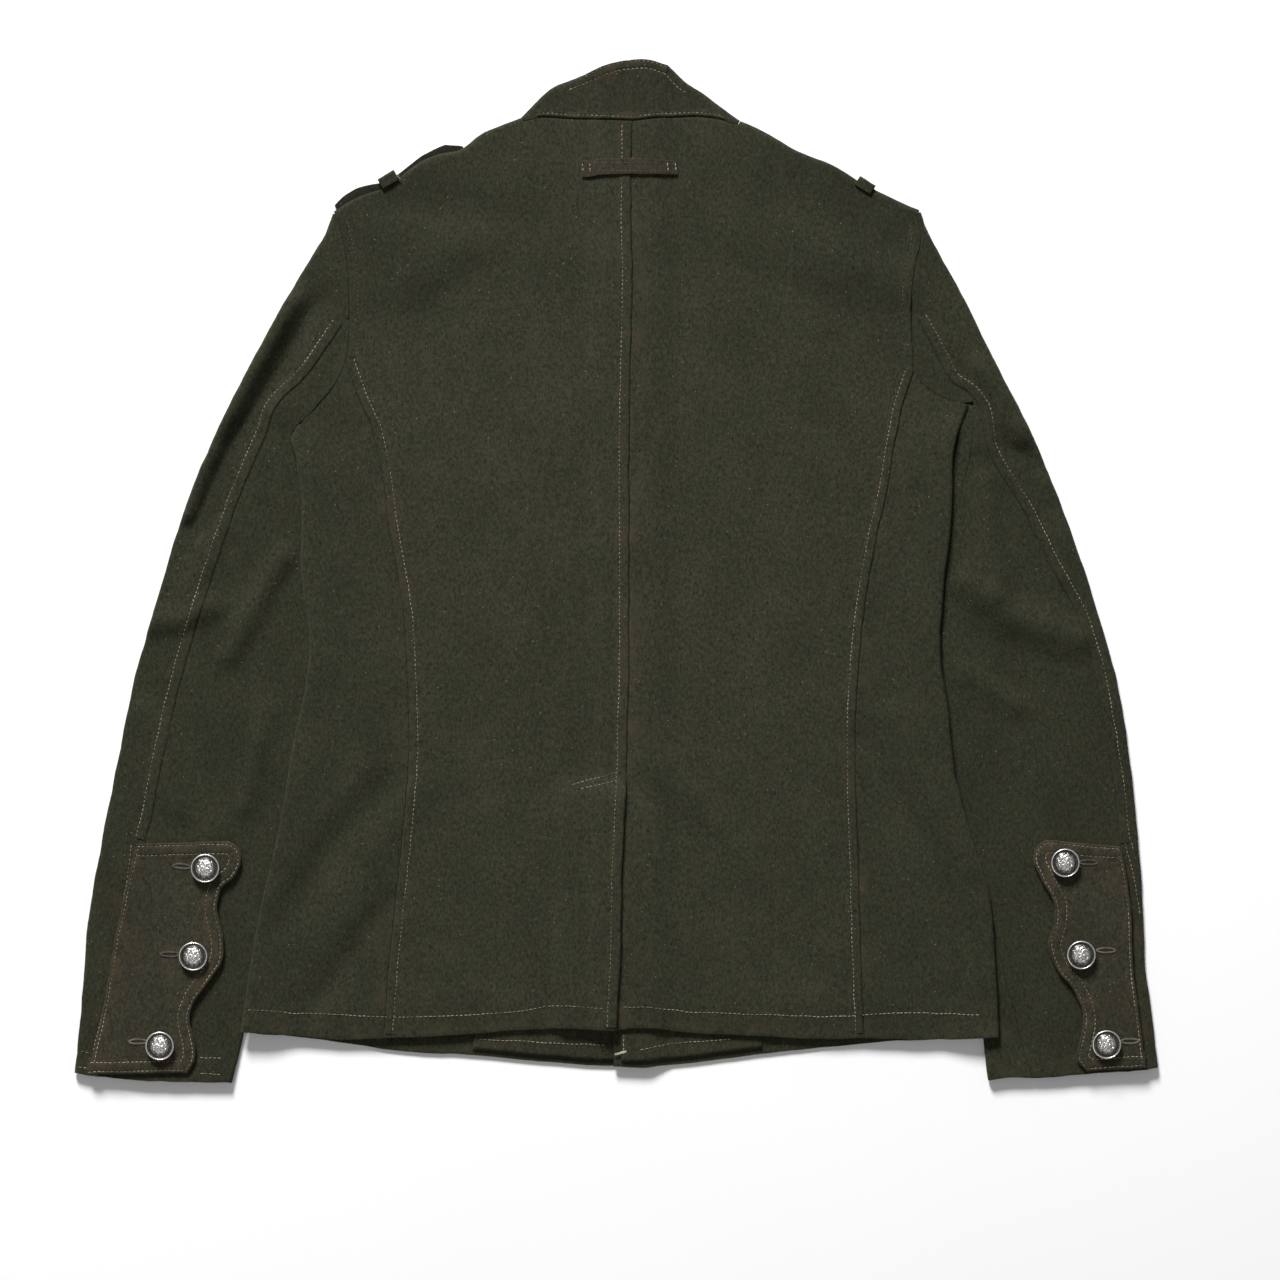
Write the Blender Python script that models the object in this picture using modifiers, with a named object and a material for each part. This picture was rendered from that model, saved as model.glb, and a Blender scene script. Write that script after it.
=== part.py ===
"""Wool military jacket laid flat on its front, back up. Sizes are in mm and turned into metres by MM."""
import bmesh
import bpy
import numpy as np

MM = 0.001
WALL = 2.2
SEAM_GAP = 0.3
LAYER_GAP = 0.3

# Heights of the middle of each layer of cloth above the floor
FLOOR_MID = WALL / 2
BACK_MID = 6.5
SLEEVE_MID = 5.6
LIP_MID = 6.7
FACING_WALL = 1.2
TAB_WALL = 1.8
STRAP_WALL = 2.0
LOOP_WALL = 1.0
HANGER_WALL = 1.4

# How far the closing, the vent and the sleeves under the body lift the cloth over them
FRONT_STEP = 4.0
HUMP = 3.7
VENT_STEP = 3.6
VENT_TOP = -148.0
UNDERLAP_WIDTH = 34.0
SIDE_RISE = 3.5
SIDE_RISE_WIDTH = 50.0
SLEEVE_DIP = 1.5
HEM_DROP = 1.0
TUCK = 9.0
DESCENT = 8.0
SHOULDER_TURN = 3.0
PIT_GAP = 2.2
CLOSING_TOP = 26.0
CLOSING_END = 48.0

# The metal cuff buttons
BUTTON_RADIUS = 10.8
BUTTON_STEPS = 18

ORIGIN_X = 0.0
ORIGIN_Y = 1.4

WOOL_COLOUR = (0.045, 0.045, 0.031, 1.0)
TRIM_COLOUR = (0.052, 0.048, 0.034, 1.0)
METAL_COLOUR = (0.62, 0.60, 0.55, 1.0)

# Outlines and seams of each half, every row is x, y from the neck or shoulder down
LEFT = {
    "neck": ((-70, 338), (-56, 341), (-41, 340), (-15, 339), (12, 338)),
    "shoulder": ((-212, 271), (-187, 284), (-175, 288), (-164, 295), (-151, 305), (-134, 313),
                 (-117, 317), (-102, 328), (-72, 341)),
    "armhole": ((-211, 267), (-207, 255), (-203, 237), (-201, 212), (-201, 186), (-203, 160),
                (-210, 143), (-224, 126), (-238, 111)),
    "princess": ((-203, 158), (-194, 132), (-183, 106), (-176, 73), (-170, 30), (-160, -30),
                 (-157, -80), (-156, -140), (-161, -201), (-169, -276), (-175, -350)),
    "edge": ((-238, 111), (-243, 100), (-240, 83), (-237, 64), (-236, -3), (-230, -52),
             (-234, -90), (-240, -117), (-255, -201), (-266, -248), (-277, -311), (-282, -345)),
    "hem": ((-175, -350), (-123, -348), (-84, -345), (-51, -343), (0, -344)),
    "side_hem": ((-282, -345), (-245, -348), (-206, -351), (-175, -350)),
    "outer": ((-212, 271), (-218, 256), (-241, 217), (-274, 157), (-304, 97), (-328, 37), (-346, -23),
              (-363, -83), (-375, -143), (-387, -203), (-397, -263), (-402, -323), (-407, -376)),
    "elbow": ((-201, 191), (-237, 142), (-253, 127), (-265, 98), (-282, 58), (-303, -3), (-320, -58),
              (-330, -94), (-342, -150), (-353, -200), (-366, -238), (-376, -275), (-385, -328),
              (-396, -378)),
    "inner": ((-241, 108), (-246, 98), (-243, 84), (-236, 62), (-228, 30), (-227, -3), (-221, -52),
              (-225, -92), (-231, -119), (-247, -202), (-258, -249), (-271, -311), (-280, -346),
              (-289, -384)),
    "inseam": ((-224, 126), (-248, 112), (-261, 92), (-259, 70), (-248, 30), (-246, -3), (-240, -52),
               (-244, -92), (-251, -122), (-267, -206), (-278, -253), (-291, -314), (-300, -348),
               (-308, -383)),
    "cuff": ((-407, -376), (-377, -379), (-350, -382), (-323, -383), (-289, -384)),
    "side_seam": ((-224, 126), (-212, 104), (-208, 64), (-207, -3), (-201, -52), (-205, -90),
                  (-211, -117), (-226, -201), (-237, -248), (-248, -311), (-254, -347)),
    "front_edge": ((18, 272), (18, 150), (18, -100), (18, -370)),
    "closing_x": 7,
    "neckline": ((-70, 338), (-52, 308), (-28, 285), (0, 275), (18, 272)),
    "front_hem": ((-254, -348), (-211, -353), (-162, -360), (-109, -363), (-54, -368), (-7, -371),
                  (18, -370)),
    "facing_hem": (-108, -363),
    "slope": ((-72, 341), (-67, 346), (-49, 363), (-30, 371), (-23, 374)),
    "collar_front": ((-23, 374), (-30, 348), (-12, 325), (6, 318)),
    "tab_in": ((-360, -204), (-367, -234), (-376, -275), (-385, -328), (-396, -377)),
    "tab_out": ((-283, -206), (-281, -216), (-286, -228), (-296, -237), (-299, -248), (-295, -276),
                (-296, -293), (-303, -304), (-317, -324), (-320, -334), (-316, -356), (-317, -368),
                (-322, -376)),
    "strap": ((-116, 321), (-129, 321), (-210, 273), (-188, 232), (-100, 282)),
    "loop": ((-167, 289), (-172.5, 297)),
    "buttons": ((-308, -222), (-317, -288), (-342, -355)),
}
RIGHT = {
    "neck": ((91, 335), (66, 341), (36, 340), (12, 338)),
    "shoulder": ((225, 272), (195, 286), (180, 294), (162, 305), (140, 314), (105, 333), (93, 338)),
    "armhole": ((226, 268), (228, 248), (224, 229), (222, 214), (221, 190), (222, 166), (223, 150),
                (236, 136), (250, 129), (262, 126)),
    "princess": ((223, 150), (215, 124), (209, 97), (204, 65), (196, 29), (185, -37), (180, -105),
                 (180, -170), (182, -228), (184, -300), (186, -350)),
    "edge": ((262, 126), (257, 108), (253, 89), (252, 65), (251, 38), (245, -15), (243, -65),
             (249, -107), (253, -147), (267, -202), (280, -246), (284, -290), (287, -349)),
    "hem": ((186, -350), (159, -351), (98, -348), (54, -346), (22, -342), (0, -344)),
    "side_hem": ((287, -349), (235, -351), (186, -350)),
    "outer": ((225, 272), (237, 248), (255, 217), (285, 157), (315, 97), (339, 37), (359, -22),
              (376, -82), (386, -143), (392, -203), (396, -262), (397, -292), (401, -325), (407, -372)),
    "elbow": ((221, 197), (234, 175), (243, 158), (252, 142), (263, 135), (271, 125), (278, 94),
              (307, 43), (324, 7), (347, -36), (357, -68), (369, -130), (375, -170), (378, -203),
              (384, -232), (387, -258), (388, -290), (392, -325), (398, -374)),
    "inner": ((264, 124), (261, 108), (257, 90), (250, 66), (243, 36), (236, -15), (234, -65),
              (240, -107), (245, -147), (258, -202), (269, -246), (272, -290), (276, -351),
              (279, -382)),
    "inseam": ((268, 128), (268, 108), (266, 90), (260, 64), (252, 33), (246, -15), (245, -65),
               (251, -107), (258, -160), (269, -214), (279, -251), (292, -304), (306, -359),
               (312, -379)),
    "cuff": ((407, -372), (375, -375), (341, -378), (318, -380), (293, -380), (279, -382)),
    "side_seam": ((250, 129), (231, 104), (225, 80), (223, 62), (221, 36), (216, -15), (214, -65),
                  (220, -107), (225, -147), (238, -202), (251, -246), (255, -290), (258, -350)),
    "front_edge": ((-2, 274), (-2, 150), (-2, -100), (-2, -371)),
    "closing_x": 21,
    "neckline": ((91, 335), (75, 305), (48, 284), (18, 275), (-2, 274)),
    "front_hem": ((258, -351), (219, -352), (159, -357), (112, -362), (88, -365), (34, -371),
                  (3, -372), (-2, -371)),
    "facing_hem": (109, -363),
    "slope": ((93, 338), (77, 350), (67, 358), (52, 368), (39, 380)),
    "collar_front": ((39, 380), (46, 350), (34, 325), (22, 318)),
    "tab_in": ((378, -206), (383, -232), (386, -258), (387, -290), (391, -325), (397, -372)),
    "tab_out": ((315, -203), (312, -213), (319, -231), (328, -249), (328, -263), (324, -280),
                (330, -298), (344, -316), (350, -336), (346, -357), (345, -365), (353, -375)),
    "strap": ((107, 318), (119, 321), (214, 273), (194, 232), (98, 282)),
    "loop": ((185, 284), (189, 291)),
    "buttons": ((336, -218), (348, -287), (367, -354)),
}
CENTRE_BACK = ((12, 338), (11, 283), (12, 225), (10, 127), (9, -98), (7, -170), (4, -235), (3, -289),
               (0, -344))
COLLAR_TOP = ((-23, 374), (-11, 379), (11, 384), (23, 384), (39, 380))
HANGER = ((-28, 309), (45, 308), (46, 297), (-26, 296))

# Where the sleeve's section lines cross the outer edge and the elbow seam, x, y
MATCH = {
    "left": {"arm_elbow": (-201, 191), "arm_princess": (-203, 158), "arm_seam": (-224, 126),
             "outer_elbow": (-245, 211), "outer_pit": (-286, 134), "elbow_pit": (-257, 121)},
    "right": {"arm_elbow": (221, 197), "arm_princess": (223, 150), "arm_seam": (250, 129),
              "outer_elbow": (262, 204), "outer_pit": (298, 131), "elbow_pit": (270, 128)},
}

# Soft folds, one a row: x0, y0, x1, y1, half width, height
BODY_FOLDS = (
    (-170, -158, -240, -255, 20, -1.2),
    (-150, -170, -215, -270, 16, 1.0),
    (-170, -248, -215, -320, 16, -1.0),
    (-215, -95, -222, -105, 20, -1.0),
    (-147, 187, -144, 110, 22, -0.9),
    (180, -140, 262, -270, 18, -1.2),
    (165, -150, 235, -280, 16, 1.0),
    (55, -190, 145, -300, 16, -0.8),
    (-132, -172, -35, -161, 9, -0.6),
    (-150, 280, -60, 285, 22, -0.8),
    (120, 285, 200, 245, 22, -0.8),
)
SLEEVE_FOLDS = (
    (-228, 196, -262, 138, 10, -1.5),
    (-262, 138, -310, 45, 13, -1.5),
    (-300, -15, -268, -70, 14, -1.2),
    (-248, -120, -266, -235, 9, -1.2),
    (-275, -95, -285, -150, 12, 0.9),
    (-340, -64, -300, -52, 12, -0.9),
    (250, 130, 285, 95, 10, -1.2),
    (285, 95, 322, 42, 12, -1.3),
    (283, 62, 288, -38, 9, 1.0),
    (306, 78, 312, -10, 12, -0.9),
    (255, -36, 345, -74, 11, -1.4),
)

# How many pieces each stretch of seam is divided into
ARM = {"elbow": 4, "princess": 2, "seam": 2, "pit": 1}
PRINCESS_ROWS = 20
EDGE_ROWS = 17
SLEEVE_ROWS = 18
SHOULDER_COLUMNS = 6
NECK_COLUMNS = 4
ARC_STEPS = 4


def smooth(value):
    value = np.clip(value, 0.0, 1.0)
    return value * value * (3.0 - 2.0 * value)


def line(rows, step=1.0):
    """A smooth line through the rows of a table, one point every step."""
    p = np.array(rows, float)
    gaps = np.diff(p, axis=0)
    h = np.hypot(gaps[:, 0], gaps[:, 1])
    t = np.concatenate([[0.0], np.cumsum(h)])
    slope = gaps / h[:, None]
    inner = (slope[:-1] * h[1:, None] + slope[1:] * h[:-1, None]) / (h[1:] + h[:-1])[:, None]
    m = np.vstack([slope[:1], inner, slope[-1:]])
    s = np.linspace(0.0, t[-1], int(t[-1] / step) + 2)
    i = np.clip(np.searchsorted(t, s, side="right") - 1, 0, len(h) - 1)
    u = ((s - t[i]) / h[i])[:, None]
    w = h[i][:, None]
    return ((1 + 2 * u) * (1 - u) ** 2 * p[i] + u * (1 - u) ** 2 * w * m[i]
            + u * u * (3 - 2 * u) * p[i + 1] + u * u * (u - 1) * w * m[i + 1])


def lengths(points):
    gaps = np.diff(points, axis=0)
    return np.concatenate([[0.0], np.cumsum(np.hypot(gaps[:, 0], gaps[:, 1]))])


def stations(points, counts, knots=()):
    """Points on a line, each stretch between knots divided evenly into its count."""
    along = lengths(points)
    marks = [0.0]
    for knot in knots:
        marks.append(along[np.argmin(np.hypot(points[:, 0] - knot[0], points[:, 1] - knot[1]))])
    marks.append(along[-1])
    at = [np.linspace(marks[k], marks[k + 1], n + 1)[:-1] for k, n in enumerate(counts)]
    at = np.concatenate(at + [[along[-1]]])
    return np.column_stack([np.interp(at, along, points[:, k]) for k in (0, 1)])


def patch(first, last, columns, top=None, bottom=None):
    """A grid of rows from the first side to the last one, its ends bent to top and bottom."""
    rows = len(first)
    u = np.linspace(0.0, 1.0, columns + 1)[None, :, None]
    v = np.linspace(0.0, 1.0, rows)[:, None, None]
    grid = (1 - u) * first[:, None, :] + u * last[:, None, :]
    if top is not None:
        grid = grid + (1 - v) * (top[None, :, :] - grid[:1])
    if bottom is not None:
        grid = grid + v * (bottom[None, :, :] - grid[-1:])
    return grid


def cut(points, start_x, end_x):
    """The part of a line between two places given by their x, the line's end for None."""
    first, last = 0, len(points) - 1
    if start_x is not None:
        first = int(np.argmin(np.abs(points[:, 0] - start_x)))
    if end_x is not None:
        last = int(np.argmin(np.abs(points[:, 0] - end_x)))
    return points[first:last + 1]


def outward(points, towards):
    """The direction square to a line at each of its points, on the side that towards gives."""
    run = np.gradient(points, axis=0)
    normal = np.column_stack([run[:, 1], -run[:, 0]])
    normal /= np.maximum(np.hypot(normal[:, 0], normal[:, 1]), 1e-6)[:, None]
    return normal * np.where(normal @ np.array(towards, float) < 0, -1.0, 1.0)[:, None]


def with_height(grid, height):
    return np.dstack([grid, height(grid[..., 0], grid[..., 1])])


def fold_round(inset, direction, reach, upper, lower, steps=ARC_STEPS):
    """The cloth turning over an edge, from the upper layer down to the lower one."""
    angle = np.linspace(np.pi / 2, -np.pi / 2, steps + 1)[None, :]
    out = reach[:, None] * np.cos(angle)
    middle = (upper + lower)[:, None] / 2
    z = middle + (upper - lower)[:, None] / 2 * np.sin(angle)
    x = inset[:, :1] + direction[:, :1] * out
    y = inset[:, 1:] + direction[:, 1:] * out
    return np.dstack([x, y, z])


def pull_in(grid, sides, amount=SEAM_GAP / 2):
    """Moves the named sides of a grid inwards, so that neighbours stay a gap apart."""
    grid = grid.copy()
    views = {"top": (grid[0], grid[1]), "bottom": (grid[-1], grid[-2]),
             "first": (grid[:, 0], grid[:, 1]), "last": (grid[:, -1], grid[:, -2])}
    for side in sides:
        edge, beside = views[side]
        run = beside - edge
        size = np.linalg.norm(run, axis=1)[:, None]
        edge += np.where(size > 2 * amount, run / np.maximum(size, 1e-6) * amount, 0.0)
    return grid


def segment_distance(x, y, row):
    x0, y0, x1, y1 = row[:4]
    dx, dy = x1 - x0, y1 - y0
    t = np.clip(((x - x0) * dx + (y - y0) * dy) / (dx * dx + dy * dy), 0.0, 1.0)
    return np.hypot(x - x0 - t * dx, y - y0 - t * dy)


def folds(x, y, table):
    total = np.zeros_like(x)
    for row in table:
        total = total + row[5] * np.exp(-(segment_distance(x, y, row) / row[4]) ** 2)
    return total


def edge_x(side, y):
    """Where the body's side edge lies at each height of the garment."""
    p = line(side["edge"])
    order = np.argsort(p[:, 1])
    return np.interp(y, p[order, 1], p[order, 0])


def below_pit(side, y, reach):
    return smooth((side["edge"][0][1] - y) / reach)


def strap_rise(x, y):
    """The lift over the shoulder straps, which lie between the fronts and the floor."""
    total = np.zeros_like(x)
    for side in (LEFT, RIGHT):
        p = np.array(side["strap"], float)
        top = (p[0] + p[4]) / 2
        end = (p[2] + p[3]) / 2
        start = top + (end - top) * 0.06
        stop = end + (top - end) * 0.16
        away = segment_distance(x, y, (start[0], start[1], stop[0], stop[1])) - 44.0
        total = np.maximum(total, (STRAP_WALL + LAYER_GAP) * smooth(1 - away / 30.0))
        out, into = loop_path(side)
        away = segment_distance(x, y, (out[0], out[1], into[0], into[1])) - 24.0
        total = total + (LOOP_WALL + LAYER_GAP) * smooth(1 - away / 24.0)
    return total


def loop_path(side):
    """The outer end of a strap loop and the end of its run underneath."""
    a, b = (np.array(p, float) for p in side["loop"])
    run = (a - b) / np.hypot(*(a - b))
    return b, a + run * 46.0


def lower_z(x, y):
    return FLOOR_MID + strap_rise(x, y)


def closing(x):
    return smooth((CLOSING_END - 4.0 - x) / (CLOSING_END - CLOSING_TOP))


def front_right_z(x, y):
    return lower_z(x, y) + FRONT_STEP * closing(x)


def side_lift(x, y):
    total = np.zeros_like(x)
    for side, sign in ((LEFT, 1.0), (RIGHT, -1.0)):
        inside = sign * (x - edge_x(side, y))
        total = np.maximum(total, below_pit(side, y, 40.0) * smooth(1 - inside / SIDE_RISE_WIDTH))
    return total


def back_z(x, y):
    """The middle of the upper layer of the body."""
    hump = smooth((CLOSING_END - x) / (CLOSING_END - CLOSING_TOP)) * smooth((x + 24.0) / 16.0)
    lift = side_lift(x, y)
    drop = HEM_DROP * smooth((-322.0 - y) / 26.0) * (1 - smooth(lift * 2.0))
    flat = 1 - smooth(lift * 1.5)
    return (BACK_MID + 0.9 * strap_rise(x, y) + HUMP * hump + SIDE_RISE * lift - drop
            + folds(x, y, BODY_FOLDS) * flat)


def vent_lift(x, y):
    return smooth((VENT_TOP - 2.0 - y) / 18.0) * smooth((x + UNDERLAP_WIDTH + 16.0) / 12.0)


def back_left_z(x, y):
    return back_z(x, y) + VENT_STEP * vent_lift(x, y)


def sleeve_z(x, y, dipped=1.0):
    """The middle of the upper layer of the sleeves, low where the body lies on it."""
    dip = np.zeros_like(x)
    for side, sign in ((LEFT, -1.0), (RIGHT, 1.0)):
        away = sign * (x - edge_x(side, y))
        beside = smooth((y - side["edge"][-1][1] + 38.0) / 25.0)
        dip = np.maximum(dip, below_pit(side, y, 30.0) * smooth(1 - (away - 3.0) / 26.0) * beside)
    level = SLEEVE_MID + (BACK_MID - SLEEVE_MID) * smooth((y - 60.0) / 60.0)
    fade = smooth((180.0 - y) / 60.0) * smooth((y + 200.0) / 30.0)
    crease = folds(x, y, SLEEVE_FOLDS) * fade * (1 - dip)
    return level + 0.9 * strap_rise(x, y) - SLEEVE_DIP * dip * dipped + crease


def material(name, colour, roughness, metallic=0.0):
    mat = bpy.data.materials.new(name)
    mat.use_nodes = True
    shader = mat.node_tree.nodes["Principled BSDF"]
    shader.inputs["Base Color"].default_value = colour
    shader.inputs["Roughness"].default_value = roughness
    shader.inputs["Metallic"].default_value = metallic
    mat.diffuse_color = colour
    return mat


def clear_scene():
    for obj in list(bpy.data.objects):
        bpy.data.objects.remove(obj, do_unlink=True)


def cloth(name, grids, wall, colour, collection):
    """One panel: its grids are joined where they meet, and Solidify gives the wall."""
    bm = bmesh.new()
    for grid in grids:
        place = (grid + np.array([ORIGIN_X, ORIGIN_Y, 0.0])) * MM
        verts = [[bm.verts.new(p) for p in row] for row in place]
        for i in range(len(verts) - 1):
            for j in range(len(verts[0]) - 1):
                bm.faces.new((verts[i][j], verts[i + 1][j], verts[i + 1][j + 1], verts[i][j + 1]))
    bmesh.ops.remove_doubles(bm, verts=bm.verts, dist=0.02 * MM)
    bmesh.ops.recalc_face_normals(bm, faces=bm.faces)
    mesh = bpy.data.meshes.new(name)
    bm.to_mesh(mesh)
    bm.free()
    for face in mesh.polygons:
        face.use_smooth = True
    obj = bpy.data.objects.new(name, mesh)
    obj.data.materials.append(material(name + "_cloth", colour, 0.9))
    shell = obj.modifiers.new("wall", "SOLIDIFY")
    shell.thickness = wall * MM
    shell.offset = 0.0
    collection.objects.link(obj)
    return obj


def seams(key):
    """The shared stations of one half's seams."""
    side, match = (LEFT, MATCH["left"]) if key == "left" else (RIGHT, MATCH["right"])
    away = (-1.0, 0.0) if key == "left" else (1.0, 0.0)
    s = {"away": away, "table": side}
    arm_counts = (ARM["elbow"], ARM["princess"], ARM["seam"], ARM["pit"])
    arm_knots = (match["arm_elbow"], match["arm_princess"], match["arm_seam"])
    s["arm"] = stations(line(side["armhole"]), arm_counts, arm_knots)
    s["princess"] = stations(line(side["princess"]), (PRINCESS_ROWS,))
    s["princess"][0] = s["arm"][ARM["elbow"] + ARM["princess"]]
    s["edge"] = stations(line(side["edge"]), (EDGE_ROWS,))
    k = below_pit(side, s["edge"][:, 1], 25.0)
    inset = (BACK_MID - FLOOR_MID + WALL) / 2 * (1 - k) + (1.65 + WALL / 2) * k
    s["edge_reach"] = inset - WALL / 2
    s["edge_out"] = outward(s["edge"], away)
    s["edge_in"] = s["edge"] - s["edge_out"] * inset[:, None]
    s["edge_in"][0] = s["arm"][-1]
    pit_out = s["arm"][-1] - s["arm"][-2]
    pit_out /= np.hypot(*pit_out)
    s["edge_out"][0] = pit_out
    s["edge_in"][0] -= np.array([away[0] * PIT_GAP, 0.0])
    pit = ARM["princess"] + ARM["seam"] + ARM["pit"]
    outer_counts = (ARM["elbow"], pit, SLEEVE_ROWS)
    s["outer"] = stations(line(side["outer"]), outer_counts, (match["outer_elbow"], match["outer_pit"]))
    s["outer_out"] = outward(s["outer"], away)
    s["outer_reach"] = np.full(len(s["outer"]), (SLEEVE_MID - FLOOR_MID) / 2)
    s["outer_in"] = s["outer"] - s["outer_out"] * (s["outer_reach"][:, None] + WALL / 2)
    s["outer_in"][0] = s["arm"][0]
    top_out = np.array([s["away"][0] * 0.33, 0.94])
    s["outer_out"][0] = top_out
    s["elbow"] = stations(line(side["elbow"]), (pit, SLEEVE_ROWS), (match["elbow_pit"],))
    s["elbow"][0] = s["arm"][ARM["elbow"]]
    s["inner"] = stations(line(side["inner"]), (SLEEVE_ROWS,))
    s["inner_out"] = outward(s["inner"], (-away[0], 0.0))
    s["inner_reach"] = np.full(len(s["inner"]), 1.6)
    s["inner_in"] = s["inner"] - s["inner_out"] * (1.6 + WALL / 2)
    s["inner_in"][0] = s["arm"][-1] + np.array([away[0] * PIT_GAP, 0.0])
    s["inner_out"][0] = pit_out
    s["inner_reach"][0] = s["edge_reach"][0]
    s["side_seam"] = stations(line(side["side_seam"]), (EDGE_ROWS,))
    s["side_seam"][0] = s["arm"][-1 - ARM["pit"]]
    s["shoulder"] = stations(line(side["shoulder"]), (SHOULDER_COLUMNS,))
    s["shoulder_out"] = outward(s["shoulder"], (0.0, 1.0))
    s["shoulder_reach"] = np.full(SHOULDER_COLUMNS + 1, (BACK_MID - FLOOR_MID) / 2)
    s["shoulder_in"] = s["shoulder"] - s["shoulder_out"] * (s["shoulder_reach"][:, None] + WALL / 2)
    s["shoulder_in"][0] = s["arm"][0]
    s["shoulder_out"][0] = top_out
    s["neck"] = stations(line(side["neck"]), (NECK_COLUMNS,))
    s["shoulder_in"][-1] = s["neck"][0]
    s["shoulder_out"][-1] = (away[0] * 0.5, 0.87)
    neckline = line(side["neckline"])
    s["neckline"] = stations(cut(neckline, None, side["closing_x"]), (NECK_COLUMNS,))
    s["shoulder_seam"] = s["shoulder_in"] - s["shoulder_out"] * SHOULDER_TURN
    for end, beside in ((0, s["arm"][:2]), (-1, s["neckline"][:2])):
        run = beside[1] - beside[0]
        s["shoulder_seam"][end] = beside[0] + run / np.hypot(*run) * SHOULDER_TURN
    return s


def under_edge_z(s, share):
    """The lower layer below the side edge: flat over the sleeve, then down to the floor."""
    side = s["table"]
    k = below_pit(side, s["edge_in"][:, 1], 25.0)
    level = FLOOR_MID + (LIP_MID - FLOOR_MID) * k
    width = np.hypot(*(s["side_seam"] - s["edge_in"]).T)
    away = width[:, None] * share[None, :]
    fall = smooth((away - TUCK) / DESCENT)
    return FLOOR_MID + (level[:, None] - FLOOR_MID) * (1 - fall)


def body_panels(key, s, collection):
    side = s["table"]
    pit_rows = ARM["seam"] + ARM["pit"]
    split = ARM["elbow"] + ARM["princess"]
    height = back_left_z if key == "left" else back_z
    first = np.vstack([s["arm"][:split], s["princess"]])
    rows = len(first) - 1
    upper_rows = rows * 2 // 5
    vent_rows = rows * 3 // 10
    centre = stations(line(CENTRE_BACK), (upper_rows, rows - upper_rows - vent_rows, vent_rows),
                      ((10, 150), (8, VENT_TOP)))
    top = np.vstack([s["shoulder_in"], s["neck"][1:]])
    hem = stations(line(side["hem"]), (SHOULDER_COLUMNS + NECK_COLUMNS,))
    grid = patch(first, centre, SHOULDER_COLUMNS + NECK_COLUMNS, top, hem)
    upper = with_height(grid, height)
    upper = pull_in(upper, ("first", "last"))
    line_up = upper[0, :SHOULDER_COLUMNS + 1]
    xy = line_up[:, :2]
    turn = fold_round(xy, s["shoulder_out"], s["shoulder_reach"], line_up[:, 2],
                      lower_z(xy[:, 0], xy[:, 1]), ARC_STEPS)
    seam = with_height(s["shoulder_seam"][:, None, :], lower_z)
    turn = np.concatenate([turn, seam], axis=1)
    turn[-1, 1:] = turn[-1, 1:] + (turn[-2, 1:] - turn[-1, 1:]) * 0.012
    turn[0, -1] = turn[0, -1] + (turn[1, -1] - turn[0, -1]) * 0.012
    grids = [upper, turn]
    if key == "right":
        far = centre[-vent_rows:] - np.array([UNDERLAP_WIDTH, 0.0])
        far[0, 1] -= 12.0
        far[-1, 1] += 1.0
        lap = with_height(patch(far, upper[-vent_rows:, -1, :2], 3), height)
        lap[:, -1] = upper[-vent_rows:, -1]
        grids.append(lap)
    cloth("back_" + key, grids, WALL, WOOL_COLOUR, collection)

    last = np.vstack([s["arm"][split:-1], s["edge_in"]])
    hem = stations(line(side["side_hem"]), (5,))[::-1]
    hem = hem + (s["edge_in"][-1] - hem[-1]) * np.linspace(0, 1, 6)[:, None]
    grid = patch(s["princess"], last, 5, None, hem)
    top_part = pull_in(with_height(grid, height), ("first",))
    top_part = clear_armhole(top_part, pit_rows)
    edge_line = top_part[pit_rows:, -1]
    xy = edge_line[:, :2]
    share = np.array([0.0, 0.32, 0.62, 0.82, 1.0])
    reach_in = share[None, :, None]
    flat = s["edge_in"][:, None, :] * (1 - reach_in) + s["side_seam"][:, None, :] * reach_in
    flat[0] += xy[0] - s["edge_in"][0]
    lower = np.dstack([flat, under_edge_z(s, share)])
    turn = fold_round(xy, s["edge_out"], s["edge_reach"], edge_line[:, 2], lower[:, 0, 2])
    lower[0, 1:] = pull_in(lower, ("top",), 1.0)[0, 1:]
    lower[:, 0] = turn[:, -1]
    lower = pull_in(lower, ("last",), 0.25)
    cloth("side_" + key, [top_part, turn, lower], WALL, WOOL_COLOUR, collection)


def clear_armhole(grid, rows):
    """Moves the armhole part of a side into the panel by the seam gap."""
    grid = grid.copy()
    run = grid[:rows + 1, -2] - grid[:rows + 1, -1]
    size = np.maximum(np.linalg.norm(run, axis=1), 1e-6)[:, None]
    grid[:rows + 1, -1] += run / size * SEAM_GAP
    return grid


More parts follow.
